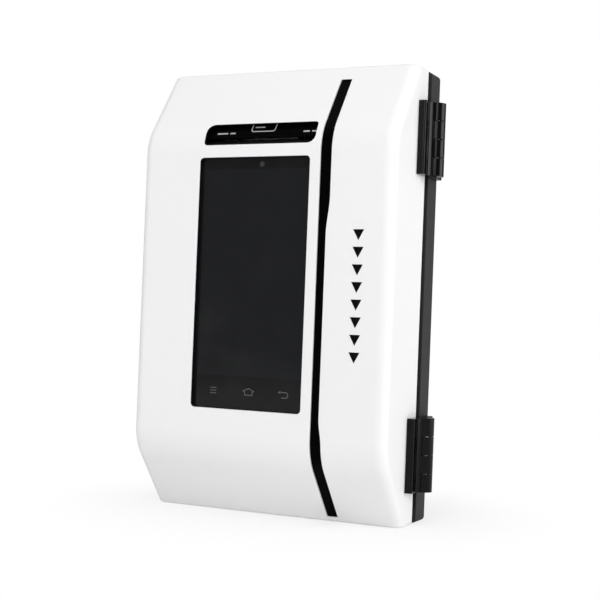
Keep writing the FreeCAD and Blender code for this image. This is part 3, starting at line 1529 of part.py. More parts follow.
def make_inner_lead():
    """Low-voltage lead: along the tray floor, forwards, then up to the port."""
    bend = size("lead_bend")
    z = size("lead_z")
    y = size(LEAD_Y)
    port_x = size(PORT_X)
    port_y = size("port_y")
    corners = [
        V(size("lead_start"), y, z),
        V(port_x, y, z),
        V(port_x, port_y, z),
        V(port_x, port_y, size("term_bottom - port_gap")),
    ]
    edges = []
    start = corners[0]
    for before, corner, after in zip(corners, corners[1:], corners[2:]):
        back = (before - corner).normalize()
        ahead = (after - corner).normalize()
        into = corner + back * bend
        out = corner + ahead * bend
        middle = corner + (back + ahead).normalize() * (bend * (math.sqrt(2) - 1))
        edges.append(Part.makeLine(start, into))
        edges.append(Part.Arc(into, middle, out).toShape())
        start = out
    edges.append(Part.makeLine(start, corners[-1]))
    path = Part.Wire(edges)
    ring = Part.Wire(Part.makeCircle(size("lead_radius"), corners[0], X_AXIS))
    lead = path.makePipeShell([ring], True, True)
    sub_part(formed(lead, "inner_lead"), "inner_lead")


def make_lead_clips():
    """Two floor saddles and one forked post that hold the lead."""
    clips = []
    for x in ("clip_low_x", "clip_high_x"):
        start = x + " - clip_width / 2"
        base = block(start, start + " + clip_width", LEAD_Y, "-wall",
                     "lead_z - clip_foot", "lead_z + clip_foot")
        crown = rod("x", start, LEAD_Y, "lead_z", "lead_radius + clip_wall", "clip_width")
        way = rod("x", start + " - overcut", LEAD_Y, "lead_z", "lead_radius",
                  "clip_width + 2 * overcut")
        clips.append(without(joined([base, crown]), [way]))
    arms = []
    right = PORT_X + " + fork_right"
    low = "lead_z - fork_drop"
    for y in ("fork_back_y", "fork_front_y"):
        post = block(PORT_X + " + fork_post", right, y, "-wall", low, "lead_z - fork_post_top")
        arm = block(PORT_X + " - fork_left", right, y, y + " + clip_foot", low, "lead_z")
        crown = rod("y", PORT_X, y, "lead_z", "lead_radius + clip_wall", "clip_foot")
        way = rod("y", PORT_X, y + " - overcut", "lead_z", "lead_radius",
                  "clip_foot + 2 * overcut")
        arms.append(without(joined([post, arm, crown]), [way]))
    sub_part(group(clips + [joined(arms)]), "lead_clips")


# ---------------------------------------------------------------- assembly

make_back_tray()
make_gasket()
make_cable_grommet()
make_front_cover()
make_accent_strip()
make_arrow_lens()
make_hinges()
make_lock()
make_lock_keeper()
make_terminal_front_shell()
make_keys()
make_terminal_rear_shell()
make_touch_glass()
make_terminal_electronics()
make_printer_lid()
make_printer_frame()
make_platen()
make_feed_drive()
make_paper_parts()
make_cradle()
make_cradle_fixings()
make_guide_light()
make_power_module()
make_terminal_block()
make_inner_lead()
make_lead_clips()

doc.recompute()

for thing in doc.Objects:
    if "Invalid" in thing.State or "Error" in thing.State:
        raise ValueError("state of " + thing.Label + ": " + str(thing.State))

os.makedirs("parts", exist_ok=True)
for thing in subparts:
    if thing.Shape.isNull() or not thing.Shape.isValid():
        raise ValueError("bad shape: " + thing.Label)
    thing.Shape.exportStep("parts/" + thing.Label + ".step")
    print(thing.Label, len(thing.Shape.Solids), round(thing.Shape.Volume, 1))
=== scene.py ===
# %% [markdown]
# # A wall-mounted ticketing terminal
#
# The object is a small two-part case: a dark tray that is screwed to a wall, and
# a white cover that swings on two black hinges.  Behind the cover's windows sits
# a handheld-style touch terminal with a receipt printer.  The engineering model
# is loaded as a fixed frame in metres, +Z up, the front facing -Y.  This lesson
# adds the camera, the light, the finishes and the fine pieces.

# %% Load the frame
import json
import math

import bmesh
import bpy
from mathutils import Matrix, Vector


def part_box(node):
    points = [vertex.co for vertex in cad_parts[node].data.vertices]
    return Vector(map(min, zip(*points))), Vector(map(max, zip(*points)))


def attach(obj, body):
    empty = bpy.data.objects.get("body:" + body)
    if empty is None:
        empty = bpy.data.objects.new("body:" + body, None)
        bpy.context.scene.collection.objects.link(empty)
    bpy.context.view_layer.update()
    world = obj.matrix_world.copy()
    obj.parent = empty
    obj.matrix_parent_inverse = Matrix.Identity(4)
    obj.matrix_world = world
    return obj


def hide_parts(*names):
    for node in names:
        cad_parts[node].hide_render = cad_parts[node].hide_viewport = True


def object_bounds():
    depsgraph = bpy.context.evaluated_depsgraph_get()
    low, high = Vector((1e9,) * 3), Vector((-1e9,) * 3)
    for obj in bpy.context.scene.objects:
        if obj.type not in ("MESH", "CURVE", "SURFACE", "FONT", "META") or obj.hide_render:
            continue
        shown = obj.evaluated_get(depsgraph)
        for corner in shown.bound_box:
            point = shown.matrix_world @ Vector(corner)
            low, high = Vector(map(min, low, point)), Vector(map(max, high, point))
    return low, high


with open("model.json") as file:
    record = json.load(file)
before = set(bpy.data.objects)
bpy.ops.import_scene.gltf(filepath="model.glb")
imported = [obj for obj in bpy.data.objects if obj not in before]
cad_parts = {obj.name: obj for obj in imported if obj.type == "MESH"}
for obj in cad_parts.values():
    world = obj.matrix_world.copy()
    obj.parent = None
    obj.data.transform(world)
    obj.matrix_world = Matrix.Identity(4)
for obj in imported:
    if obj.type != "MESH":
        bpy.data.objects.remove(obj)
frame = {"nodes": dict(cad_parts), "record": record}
cad_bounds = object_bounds()
NODES = frame["nodes"]
SLOT_OF = {entry["node"]: entry["material_slot"] for entry in frame["record"]["subparts"]}
BODY_OF = {node: body for body, nodes in frame["record"]["behaviour"]["bodies"].items()
           for node in nodes}
MM = 0.001
print("nodes", len(NODES), "bounds", [[round(v, 4) for v in corner] for corner in cad_bounds])

# %% [markdown]
# ## Camera
#
# A camera is easiest to reason about as an orbit: a point to look at, a distance,
# an azimuth round the vertical and an elevation.  A small roll about the line of
# sight tips the upright object a little in the picture, as a tilted camera does.

# %% Camera
CAMERA_TARGET = Vector((-0.0028, -0.0082, -0.0040))
CAMERA_DISTANCE = 0.780
CAMERA_AZIMUTH = 25.25
CAMERA_ELEVATION = -1.01
CAMERA_ROLL = 2.26
CAMERA_LENS = 74.555

azimuth = math.radians(CAMERA_AZIMUTH)
elevation = math.radians(CAMERA_ELEVATION)
toward_camera = Vector((math.sin(azimuth) * math.cos(elevation),
                        -math.cos(azimuth) * math.cos(elevation),
                        math.sin(elevation)))
level_right = Vector((0, 0, 1)).cross(toward_camera).normalized()
level_up = toward_camera.cross(level_right)
roll = math.radians(CAMERA_ROLL)
camera_right = level_right * math.cos(roll) + level_up * math.sin(roll)
camera_up = level_up * math.cos(roll) - level_right * math.sin(roll)
turn = Matrix((camera_right, camera_up, toward_camera)).transposed()

camera_data = bpy.data.cameras.new("studio_camera")
camera_data.lens = CAMERA_LENS
camera_data.sensor_width = 36.0
camera_data.clip_start = 0.01
camera = bpy.data.objects.new("studio_camera", camera_data)
camera.matrix_world = Matrix.Translation(CAMERA_TARGET + toward_camera * CAMERA_DISTANCE) \
    @ turn.to_4x4()
bpy.context.scene.collection.objects.link(camera)
bpy.context.scene.camera = camera
print("camera at", [round(v, 4) for v in camera.location])

# %% [markdown]
# ## Light
#
# White plastic on a white ground needs even light, or its faces burn out and lose
# their edges.  A bright world gives the fill.  One large soft panel on the right
# makes the side the lightest face, one above lights the upper slope, and the
# lower slope stays in gentle shade because the floor returns less light.

# %% Light
FLOOR_Z = cad_bounds[0][2] - 0.0004


def soft_panel(name, place, aim, size, power):
    """A square area light that looks at a point."""
    data = bpy.data.lights.new(name, "AREA")
    data.shape = "SQUARE"
    data.size = size
    data.energy = power
    panel = bpy.data.objects.new(name, data)
    panel.location = place
    panel.rotation_euler = (Vector(aim) - Vector(place)).to_track_quat("-Z", "Y").to_euler()
    bpy.context.scene.collection.objects.link(panel)


soft_panel("right_panel", (1.35, 0.30, 0.20), (0.05, -0.03, 0.0), 1.0, 13.0)
soft_panel("front_panel", (0.45, -1.60, 0.80), (0, -0.05, 0.0), 1.1, 15.6)
soft_panel("top_panel", (-0.15, -0.30, 1.35), (0, -0.05, 0.0), 1.2, 5.9)

# a small lamp on the far left puts glints on the turned hinge barrels
soft_panel("glint_panel", (-0.75, -0.95, -0.10), (0.08, -0.03, 0.0), 0.09, 1.1)

# %% [markdown]
# The world has two jobs.  What the camera sees directly is plain white, and what
# lights the object is a dimmer fill, so that black gloss keeps its depth.

# %% World
WHITE = (1.0, 1.0, 1.0, 1.0)
WORLD_FILL = 0.275
world = bpy.data.worlds.new("studio_world")
world.use_nodes = True
world_tree = world.node_tree
seen = world_tree.nodes.new("ShaderNodeLightPath")
backdrop = world_tree.nodes["Background"]
backdrop.inputs["Strength"].default_value = WORLD_FILL
white_ground = world_tree.nodes.new("ShaderNodeBackground")
backdrop.inputs["Color"].default_value = WHITE
white_ground.inputs["Color"].default_value = WHITE
white_ground.inputs["Strength"].default_value = 1.0
either = world_tree.nodes.new("ShaderNodeMixShader")
world_tree.links.new(seen.outputs["Is Camera Ray"], either.inputs["Fac"])
world_tree.links.new(backdrop.outputs["Background"], either.inputs[1])
world_tree.links.new(white_ground.outputs["Background"], either.inputs[2])
world_tree.links.new(either.outputs["Shader"], world_tree.nodes["World Output"].inputs["Surface"])
bpy.context.scene.world = world
bpy.context.scene.view_settings.view_transform = "Standard"

# %% [markdown]
# ## Floor
#
# The floor is one plain pale sheet, large enough that its far edge is never seen.

# %% Floor
FLOOR_HALF = 6.0
SHADOW_REACH = 0.06
SHADOW_END = 0.22
LEAST_FADE = 0.30
floor_mesh = bpy.data.meshes.new("studio_floor")
floor_mesh.from_pydata([(-FLOOR_HALF, -FLOOR_HALF, FLOOR_Z), (FLOOR_HALF, -FLOOR_HALF, FLOOR_Z),
                        (FLOOR_HALF, FLOOR_HALF, FLOOR_Z), (-FLOOR_HALF, FLOOR_HALF, FLOOR_Z)],
                       [], [(0, 1, 2, 3)])
floor = bpy.data.objects.new("studio_floor", floor_mesh)
bpy.context.scene.collection.objects.link(floor)
floor_finish = bpy.data.materials.new("pale_floor")
floor_finish.use_nodes = True
floor_tree = floor_finish.node_tree
sheet_shader = floor_tree.nodes["Principled BSDF"]
sheet_shader.inputs["Base Color"].default_value = (0.93, 0.93, 0.93, 1)
sheet_shader.inputs["Roughness"].default_value = 0.9
# away from the object the sheet fades into the white ground, so no horizon shows
where = floor_tree.nodes.new("ShaderNodeTexCoord")
reach = floor_tree.nodes.new("ShaderNodeVectorMath")
reach.operation = "LENGTH"
floor_tree.links.new(where.outputs["Object"], reach.inputs[0])
fade = floor_tree.nodes.new("ShaderNodeMapRange")
fade.interpolation_type = "SMOOTHSTEP"
fade.inputs["From Min"].default_value = SHADOW_REACH
fade.inputs["From Max"].default_value = SHADOW_END
fade.inputs["To Min"].default_value = LEAST_FADE
floor_tree.links.new(reach.outputs["Value"], fade.inputs["Value"])
glow = floor_tree.nodes.new("ShaderNodeEmission")
blend = floor_tree.nodes.new("ShaderNodeMixShader")
camera_only = floor_tree.nodes.new("ShaderNodeLightPath")
amount = floor_tree.nodes.new("ShaderNodeMath")
amount.operation = "MULTIPLY"
floor_tree.links.new(fade.outputs["Result"], amount.inputs[0])
floor_tree.links.new(camera_only.outputs["Is Camera Ray"], amount.inputs[1])
floor_tree.links.new(amount.outputs["Value"], blend.inputs["Fac"])
floor_tree.links.new(sheet_shader.outputs["BSDF"], blend.inputs[1])
floor_tree.links.new(glow.outputs["Emission"], blend.inputs[2])
floor_tree.links.new(blend.outputs["Shader"], floor_tree.nodes["Material Output"].inputs["Surface"])
floor_mesh.materials.append(floor_finish)

# %% [markdown]
# ## A small kit for finishes
#
# Moulded plastic, rubber and metal differ in a few things: base colour, how far
# the colour drifts, how rough the skin is and how coarse its grain is.  One
# helper builds that from noise patterns read in Object coordinates, so a pattern
# stays put when a piece moves.  Real edges are never knife sharp: a bevel normal
# rounds them in the light, and where it differs from the true face the skin is
# rubbed a little paler and smoother.

# %% Finish helper


class Finish:
    """Builds one procedural material, node by node."""

    def __init__(self, name):
        self.material = bpy.data.materials.new(name)
        self.material.use_nodes = True
        self.tree = self.material.node_tree
        self.shader = self.tree.nodes["Principled BSDF"]
        self.place = self.add("ShaderNodeTexCoord").outputs["Object"]

    def add(self, kind, **settings):
        node = self.tree.nodes.new(kind)
        for key, value in settings.items():
            setattr(node, key, value)
        return node

    def link(self, source, target):
        self.tree.links.new(source, target)

    def noise(self, scale, detail=2.0, stretch=None):
        """Grey noise between 0 and 1; stretch draws it out along an axis."""
        node = self.add("ShaderNodeTexNoise")
        node.inputs["Scale"].default_value = scale
        node.inputs["Detail"].default_value = detail
        if stretch is None:
            self.link(self.place, node.inputs["Vector"])
        else:
            mapping = self.add("ShaderNodeMapping")
            mapping.inputs["Scale"].default_value = stretch
            self.link(self.place, mapping.inputs["Vector"])
            self.link(mapping.outputs["Vector"], node.inputs["Vector"])
        return node.outputs["Fac"]

    def spread(self, source, low, high, start=0.3, end=0.7):
        """Maps a pattern onto a range of values."""
        node = self.add("ShaderNodeMapRange")
        node.inputs["From Min"].default_value = start
        node.inputs["From Max"].default_value = end
        node.inputs["To Min"].default_value = low
        node.inputs["To Max"].default_value = high
        self.link(source, node.inputs["Value"])
        return node.outputs["Result"]

    def math(self, operation, first, second):
        node = self.add("ShaderNodeMath", operation=operation)
        for socket, value in zip(node.inputs, (first, second)):
            if hasattr(value, "is_output"):
                self.link(value, socket)
            else:
                socket.default_value = value
        return node.outputs["Value"]

    def blend_colors(self, factor, first, second):
        node = self.add("ShaderNodeMix", data_type="RGBA")
        for socket, value in ((node.inputs[6], first), (node.inputs[7], second)):
            if hasattr(value, "is_output"):
                self.link(value, socket)
            else:
                socket.default_value = (*value, 1.0)
        self.link(factor, node.inputs[0])
        return node.outputs[2]

    def bump(self, height, strength, distance, under=None):
        node = self.add("ShaderNodeBump")
        node.inputs["Strength"].default_value = strength
        node.inputs["Distance"].default_value = distance
        self.link(height, node.inputs["Height"])
        if under is not None:
            self.link(under, node.inputs["Normal"])
        return node.outputs["Normal"]

    def within(self, low, high):
        """1 while the place lies in a box; a limit of None is left open."""
        axes = self.add("ShaderNodeSeparateXYZ")
        self.link(self.place, axes.inputs["Vector"])
        inside = None
        for axis, least, most in zip("XYZ", low, high):
            for operation, limit in (("GREATER_THAN", least), ("LESS_THAN", most)):
                if limit is None:
                    continue
                passed = self.math(operation, axes.outputs[axis], limit)
                inside = passed if inside is None else self.math("MULTIPLY", inside, passed)
        return inside

    def round_edge(self, radius):
        """Normal that turns smoothly over an edge, and a mask of the edges."""
        bevel = self.add("ShaderNodeBevel", samples=6)
        bevel.inputs["Radius"].default_value = radius
        flat = self.add("ShaderNodeNewGeometry").outputs["Normal"]
        match = self.add("ShaderNodeVectorMath", operation="DOT_PRODUCT")
        self.link(bevel.outputs["Normal"], match.inputs[0])
        self.link(flat, match.inputs[1])
        mask = self.spread(match.outputs["Value"], 1.0, 0.0, 0.75, 0.995)
        return bevel.outputs["Normal"], mask


def plain_finish(name, color, roughness, drift=0.06, grain=900.0, grain_depth=0.00004,
                 metallic=0.0, coat=0.0, stretch=None, patch=35.0, specular=0.5,
                 edge=0.0003, wear=0.25, painted_shade_boxes=()):
    """A moulded, painted or metal skin with grain, drift, uneven sheen and wear.

    Inside the given boxes, on walls that face neither front nor back, the skin is painted near black
    as shade."""
    finish = Finish(name)
    clouds = finish.noise(patch, 3.0, stretch)
    darker = tuple(channel * (1 - drift) for channel in color)
    lighter = tuple(min(channel * (1 + drift), 1.0) for channel in color)
    skin = finish.blend_colors(clouds, darker, lighter)
    rounded, edges = finish.round_edge(edge)
    scuffs = finish.spread(finish.noise(260.0, 4.0), 0.0, wear, 0.42, 0.62)
    rubbed = finish.math("MULTIPLY", edges, scuffs)
    paler = tuple(min(channel * 1.5 + 0.02, 0.95) for channel in color)
    skin = finish.blend_colors(rubbed, skin, paler)
    # painted shade: walls inside these boxes are coloured near black to stand for the shadow in the
    # gaps round the openings
    if painted_shade_boxes:
        facing = finish.add("ShaderNodeSeparateXYZ")
        finish.link(finish.add("ShaderNodeTexCoord").outputs["Normal"], facing.inputs["Vector"])
        cut_edge = finish.math("LESS_THAN", finish.math("ABSOLUTE", facing.outputs["Y"], 0.0), 0.3)
    for low, high in painted_shade_boxes:
        painted_shade_mask = finish.math("MULTIPLY", finish.within(low, high), cut_edge)
        # near black colour of the painted shade
        skin = finish.blend_colors(painted_shade_mask, skin, (0.004, 0.004, 0.0042))
    finish.link(skin, finish.shader.inputs["Base Color"])
    sheen = finish.spread(clouds, roughness * 0.88, roughness * 1.12)
    finish.link(finish.math("SUBTRACT", sheen, finish.math("MULTIPLY", rubbed, 0.2)),
                finish.shader.inputs["Roughness"])
    fine = finish.noise(grain, 2.0, stretch)
    finish.link(finish.bump(fine, 0.6, grain_depth, rounded), finish.shader.inputs["Normal"])
    finish.shader.inputs["Metallic"].default_value = metallic
    finish.shader.inputs["Specular IOR Level"].default_value = specular
    finish.shader.inputs["Coat Weight"].default_value = coat
    finish.shader.inputs["Coat Roughness"].default_value = 0.06
    return finish.material


# %% [markdown]
# ## The front glass
#
# The panel is one sheet of glass with black print on its back.  The print leaves
# a clear rectangle over the display, and an unlit display is a shade paler than
# the print.  The rectangle is made from the two coordinates of the place: a value
# is 1 only while both lie between their limits.  Fingers leave a faint uneven
# film, so the sheen is not quite even.

# %% Glass finish
DISPLAY_LOW, DISPLAY_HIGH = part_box("display_panel")


def glass_finish(name, print_color, display_color):
    finish = Finish(name)
    inside = finish.within((DISPLAY_LOW[0], None, DISPLAY_LOW[2]),
                           (DISPLAY_HIGH[0], None, DISPLAY_HIGH[2]))
    film = finish.noise(45.0, 4.0)
    sheet = finish.blend_colors(inside, print_color, display_color)
    hazy = tuple(channel + 0.002 for channel in display_color)
    smudge = finish.spread(film, 0.0, 0.45, 0.45, 0.75)
    finish.link(finish.blend_colors(smudge, sheet, hazy), finish.shader.inputs["Base Color"])
    finish.link(finish.spread(film, 0.06, 0.16), finish.shader.inputs["Roughness"])
    rounded, _ = finish.round_edge(0.0003)
    finish.link(finish.bump(finish.noise(30.0, 1.0), 0.2, 0.000004, rounded),
                finish.shader.inputs["Normal"])
    finish.shader.inputs["Specular IOR Level"].default_value = 0.22
    return finish.material


# %% [markdown]
# ## The cover
#
# The cover is a satin white moulding.  The cut walls of its openings are painted
# near black as shade, so seen from the side the wall's thickness stays as dark as
# the gap shadow round each opening; the painted shade is a box test just behind the skin.

# %% Cover finish
SKIN_Y = cad_bounds[0][1]
# boxes in which the cut walls of the openings are painted near black as shade, for the gap shadow
# round them
PAINTED_SHADE_BACK = SKIN_Y + 0.0120
SCREEN_PAINTED_SHADE = ((-0.04195, SKIN_Y + 0.0003, -0.0705), (0.03015, PAINTED_SHADE_BACK, 0.0777))
READER_PAINTED_SHADE = ((-0.04005, SKIN_Y + 0.0003, 0.0849), (0.03255, PAINTED_SHADE_BACK, 0.0981))
ARROW_PAINTED_SHADE = ((0.05840, SKIN_Y + 0.0003, -0.0400), (0.06520, PAINTED_SHADE_BACK, 0.0355))


def cover_finish(name):
    # the three boxes give the opening walls their painted shade
    return plain_finish(name, (0.86, 0.86, 0.865), 0.42, drift=0.006, grain=1300,
                        grain_depth=0.00002, patch=12, specular=0.3, wear=0.3, edge=0.0005,
                        painted_shade_boxes=(SCREEN_PAINTED_SHADE, READER_PAINTED_SHADE, ARROW_PAINTED_SHADE))


# %% [markdown]
# ## Finishes, slot by slot
#
# Each slot of the record gets its own finish.  Colours are linear values: 0.06
# looks mid grey on a screen and 0.005 almost black.

# %% Finishes
BRUSHED = (1.0, 1.0, 12.0)
FINISHES = {
    "tray": plain_finish("tray_texture", (0.034, 0.034, 0.035), 0.6, grain=1500,
                         grain_depth=0.00012, specular=0.15, wear=0.35, edge=0.0005),
    "seal": plain_finish("seal_rubber", (0.006, 0.006, 0.0063), 0.8, grain=800, specular=0.03),
    "cover": cover_finish("cover_satin_white"),
    "gloss_black": plain_finish("piano_black", (0.0006, 0.0006, 0.0007), 0.45, grain=300,
                                grain_depth=0.000004, specular=0.02, wear=0.02),
    "smoked": plain_finish("smoked_lens", (0.0015, 0.0015, 0.0018), 0.3, grain=400,
                           grain_depth=0.00001, specular=0.15, wear=0.05),
    "hinge": plain_finish("hinge_grain", (0.0009, 0.0009, 0.001), 0.14, grain=1600,
                          grain_depth=0.000008, specular=0.17, wear=0.2, edge=0.0003),
    "steel": plain_finish("plain_steel", (0.55, 0.56, 0.58), 0.32, metallic=1.0, stretch=BRUSHED),
    "zinc": plain_finish("zinc_plate", (0.62, 0.63, 0.66), 0.28, metallic=1.0, drift=0.1),
    "chrome": plain_finish("lock_chrome", (0.72, 0.73, 0.75), 0.1, metallic=1.0, drift=0.02),
    "terminal": plain_finish("terminal_satin", (0.0015, 0.0016, 0.0018), 0.3, grain=1400,
                             grain_depth=0.00001, specular=0.05, wear=0.02, edge=0.0002),
    "key": plain_finish("key_matt", (0.02, 0.02, 0.022), 0.5, grain=1400),
    "panel_glass": glass_finish("panel_glass", (0.0062, 0.0064, 0.0072), (0.0098, 0.0102, 0.0112)),
    "display": plain_finish("display_off", (0.014, 0.015, 0.017), 0.25),
    "board": plain_finish("board_mask", (0.010, 0.080, 0.035), 0.35, coat=0.4, patch=160, drift=0.25),
    "chips": plain_finish("chip_resin", (0.012, 0.012, 0.012), 0.6),
    "battery": plain_finish("battery_wrap", (0.035, 0.045, 0.065), 0.45),
    "speaker": plain_finish("speaker_paper", (0.02, 0.02, 0.022), 0.7),
    "copper": plain_finish("antenna_copper", (0.65, 0.30, 0.16), 0.35, metallic=1.0),
    "roller": plain_finish("roller_rubber", (0.02, 0.02, 0.021), 0.7),
    "gear": plain_finish("acetal_white", (0.66, 0.66, 0.60), 0.4),
    "brass": plain_finish("turned_brass", (0.62, 0.43, 0.18), 0.3, metallic=1.0),
    "ceramic_head": plain_finish("print_head_glaze", (0.20, 0.21, 0.24), 0.25, coat=0.5),
    "paper": plain_finish("receipt_paper", (0.82, 0.82, 0.80), 0.8),
    "core": plain_finish("paper_tube", (0.18, 0.16, 0.14), 0.8),
    "cradle": plain_finish("powder_coat", (0.022, 0.022, 0.023), 0.5, grain=900,
                           grain_depth=0.0001, wear=0.5),
    "foam_rest": plain_finish("rest_plastic", (0.02, 0.02, 0.022), 0.55),
    "led": plain_finish("lamp_body", (0.75, 0.70, 0.42), 0.3, coat=0.4),
    "psu": plain_finish("supply_case", (0.015, 0.015, 0.016), 0.5, grain=1500, grain_depth=0.0001),
    "block_green": plain_finish("connector_green", (0.03, 0.16, 0.05), 0.45),
    "lead": plain_finish("lead_sheath", (0.010, 0.010, 0.010), 0.55),
}
PRINT_FINISH = plain_finish("pale_print", (0.085, 0.085, 0.09), 0.5, grain=2500, wear=0.1,
                            grain_depth=0.00001, edge=0.00002, specular=0.2)
LENS_FINISH = plain_finish("lens_coating", (0.030, 0.031, 0.036), 0.2, coat=0.3, wear=0.0,
                           grain_depth=0.000001, edge=0.0001)
for node_name, node in NODES.items():
    node.data.materials.clear()
    node.data.materials.append(FINISHES[SLOT_OF[node_name]])
print("finishes", len(FINISHES))

# %% [markdown]
# ## Small mesh tools
#
# Every fine piece below is a plain mesh at the origin.  A piece is dressed with
# its finish and set to ride on the body it belongs to.
# Its name is its own, and it may stand for a node of the frame.

# %% Mesh tools


def finish_piece(obj, material, body, stands_for=()):
    """Material and body of one finished piece; the nodes it stands for are hidden."""
    obj.data.materials.clear()
    obj.data.materials.append(material)
    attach(obj, body)
    if stands_for:
        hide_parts(*stands_for)
    print(obj.name, "faces", len(obj.data.polygons))


def mesh_object(name, vertices, faces, smooth=None):
    """A linked object; smooth is the largest angle, in degrees, that is shaded soft."""
    mesh = bpy.data.meshes.new(name)
    mesh.from_pydata([tuple(v) for v in vertices], [], faces)
    mesh.update()
    if smooth is not None:
        mesh.shade_smooth()
        mesh.set_sharp_from_angle(angle=math.radians(smooth))
    obj = bpy.data.objects.new(name, mesh)
    bpy.context.scene.collection.objects.link(obj)
    return obj


def slab(outline, front, thickness):
    """Vertices and faces of a flat plate; the outline is (x, z), the depth runs along +Y."""
    count = len(outline)
    vertices = [(x, front, z) for x, z in outline] + [(x, front + thickness, z) for x, z in outline]
    faces = [tuple(range(count)), tuple(range(2 * count - 1, count - 1, -1))]
    for i in range(count):
        j = (i + 1) % count
        faces.append((j, i, i + count, j + count))
    return vertices, faces


def merged(parts):
    """One list of vertices and faces from several."""
    vertices = []
    faces = []
    for part_vertices, part_faces in parts:
        shift = len(vertices)
        vertices.extend(part_vertices)
        faces.extend(tuple(index + shift for index in face) for face in part_faces)
    return vertices, faces


def offset_corner(before, corner, after, reach):
    """Corner moved sideways so that both of its lines shift by the same reach."""
    into = Vector((corner[0] - before[0], corner[1] - before[1])).normalized()
    out = Vector((after[0] - corner[0], after[1] - corner[1])).normalized()
    side = (Vector((-into.y, into.x)) + Vector((-out.y, out.x))).normalized()
    # the sharper the turn, the longer the mitre, up to a limit
    stretch = 1 / max(side.dot(Vector((-out.y, out.x))), 0.4)
    return (corner[0] + side.x * reach * stretch, corner[1] + side.y * reach * stretch)


def stroke(points, width, closed=False):
    """Outlines of the mitred quadrilaterals that draw a line through points."""
    count = len(points)
    left = []
    right = []
    for i, point in enumerate(points):
        if closed:
            before, after = points[i - 1], points[(i + 1) % count]
        else:
            before = points[i - 1] if i > 0 else tuple(2 * p - q for p, q in zip(point, points[1]))
            after = (points[i + 1] if i < count - 1
                     else tuple(2 * p - q for p, q in zip(point, points[i - 1])))
        left.append(offset_corner(before, point, after, width / 2))
        right.append(offset_corner(before, point, after, -width / 2))
    last = count if closed else count - 1
    return [[right[i], right[(i + 1) % count], left[(i + 1) % count], left[i]]
            for i in range(last)]


def arc(cx, cz, radius, start, end, steps):
    """Points on an arc; angles in degrees."""
    return [(cx + radius * math.cos(math.radians(start + (end - start) * i / steps)),
             cz + radius * math.sin(math.radians(start + (end - start) * i / steps)))
            for i in range(steps + 1)]


# %% [markdown]
# ## Touch keys on the glass
#
# Below the display the glass carries three printed touch keys: menu bars, a
# house outline and a return arrow.  Print is only a few hundredths of a
# millimetre thick; here it is drawn with strokes on the front of the glass.  All
# sizes in this cell are millimetres from the middle of a key.

# %% Touch keys
GLASS_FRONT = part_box("touch_glass")[0][1]
PRINT_THICK = 0.02 * MM
KEY_Z = -60.0
MENU_X, HOUSE_X, RETURN_X = -28.6, -5.2, 17.6
BAR_PITCH = 1.6
BAR_HALF = 2.1
THIN, THICK = 0.5, 0.6
HOUSE = ((-3.4, 0.6), (0, 2.2), (3.4, 0.6), (2.6, 0.4), (2.4, -1.7), (-2.4, -1.7), (-2.6, 0.4))
HOOK_RADIUS = 1.6
ARROW_HEAD = ((-3.6, 1.2), (-2.0, 0.2), (-2.0, 2.2))


def at_key(x, points):
    """Points round the middle of a key, in millimetres on the glass."""
    return [(x + across, KEY_Z + up) for across, up in points]


bars = []
for row in (-1, 0, 1):
    height = row * BAR_PITCH
    bars += stroke(at_key(MENU_X, ((-BAR_HALF, height), (BAR_HALF, height))), THIN)
bars += stroke(at_key(HOUSE_X, HOUSE), THICK, closed=True)
hook = [(-2.2, 1.2)] + arc(1.2, -0.4, HOOK_RADIUS, 90, -90, 12) + [(-1.4, -2.0)]
bars += stroke(at_key(RETURN_X, hook), THICK)
bars.append(at_key(RETURN_X, ARROW_HEAD))
plates = [slab([(x * MM, z * MM) for x, z in bar], GLASS_FRONT - PRINT_THICK, PRINT_THICK)
          for bar in bars]
touch_keys = mesh_object("touch_key_print", *merged(plates))
finish_piece(touch_keys, PRINT_FINISH, BODY_OF["touch_glass"])

# %% [markdown]
# ## Camera window
#
# The camera looks out through a small clear window near the top of the glass: a
# fine ring round a domed lens.  Both come from one profile, turned about the
# camera's own axis.  The profile's pairs are a radius and a height over the glass.

# %% Camera window
WINDOW_PROFILE = ((1.6, 0.0), (1.6, 0.06), (1.45, 0.1), (1.2, 0.06), (0.7, 0.12), (0.2, 0.14))
LENS_LOW, LENS_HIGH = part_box("camera_module")


def ring_faces(rings, steps):
    """Faces between equal rings of vertices, with both ends closed."""
    faces = []
    for ring in range(rings - 1):
        for i in range(steps):
            j = (i + 1) % steps
            faces.append((ring * steps + i, ring * steps + j,
                          (ring + 1) * steps + j, (ring + 1) * steps + i))
    faces.append(tuple(range(steps - 1, -1, -1)))
    last = (rings - 1) * steps
    faces.append(tuple(range(last, last + steps)))
    return faces


def turned(profile, cx, cz, steps=48):
    """Surface turned about a line along Y; the profile is (radius, y)."""
    vertices = [(cx + r * math.cos(2 * math.pi * i / steps), y,
                 cz + r * math.sin(2 * math.pi * i / steps))
                for r, y in profile for i in range(steps)]
    return vertices, ring_faces(len(profile), steps)


camera_profile = [(r * MM, GLASS_FRONT - height * MM) for r, height in WINDOW_PROFILE]
camera_window = mesh_object("camera_window",
                            *turned(camera_profile, (LENS_LOW[0] + LENS_HIGH[0]) / 2,
                                    (LENS_LOW[2] + LENS_HIGH[2]) / 2),
                            smooth=35)
finish_piece(camera_window, LENS_FINISH, BODY_OF["touch_glass"])

# %% [markdown]
# ## Laying print on the lid
#
# The lid behind the upper window is bent, so flat marks are cut into short pieces
# and each point is dropped along +Y onto the lid, then lifted a hair off its skin.

# %% Print on a bent lid
LID = NODES["printer_lid"]
LID_INVERSE = LID.matrix_world.inverted()
BEFORE_LID = -0.2
PRINT_LOW, PRINT_HIGH = 0.01 * MM, 0.04 * MM


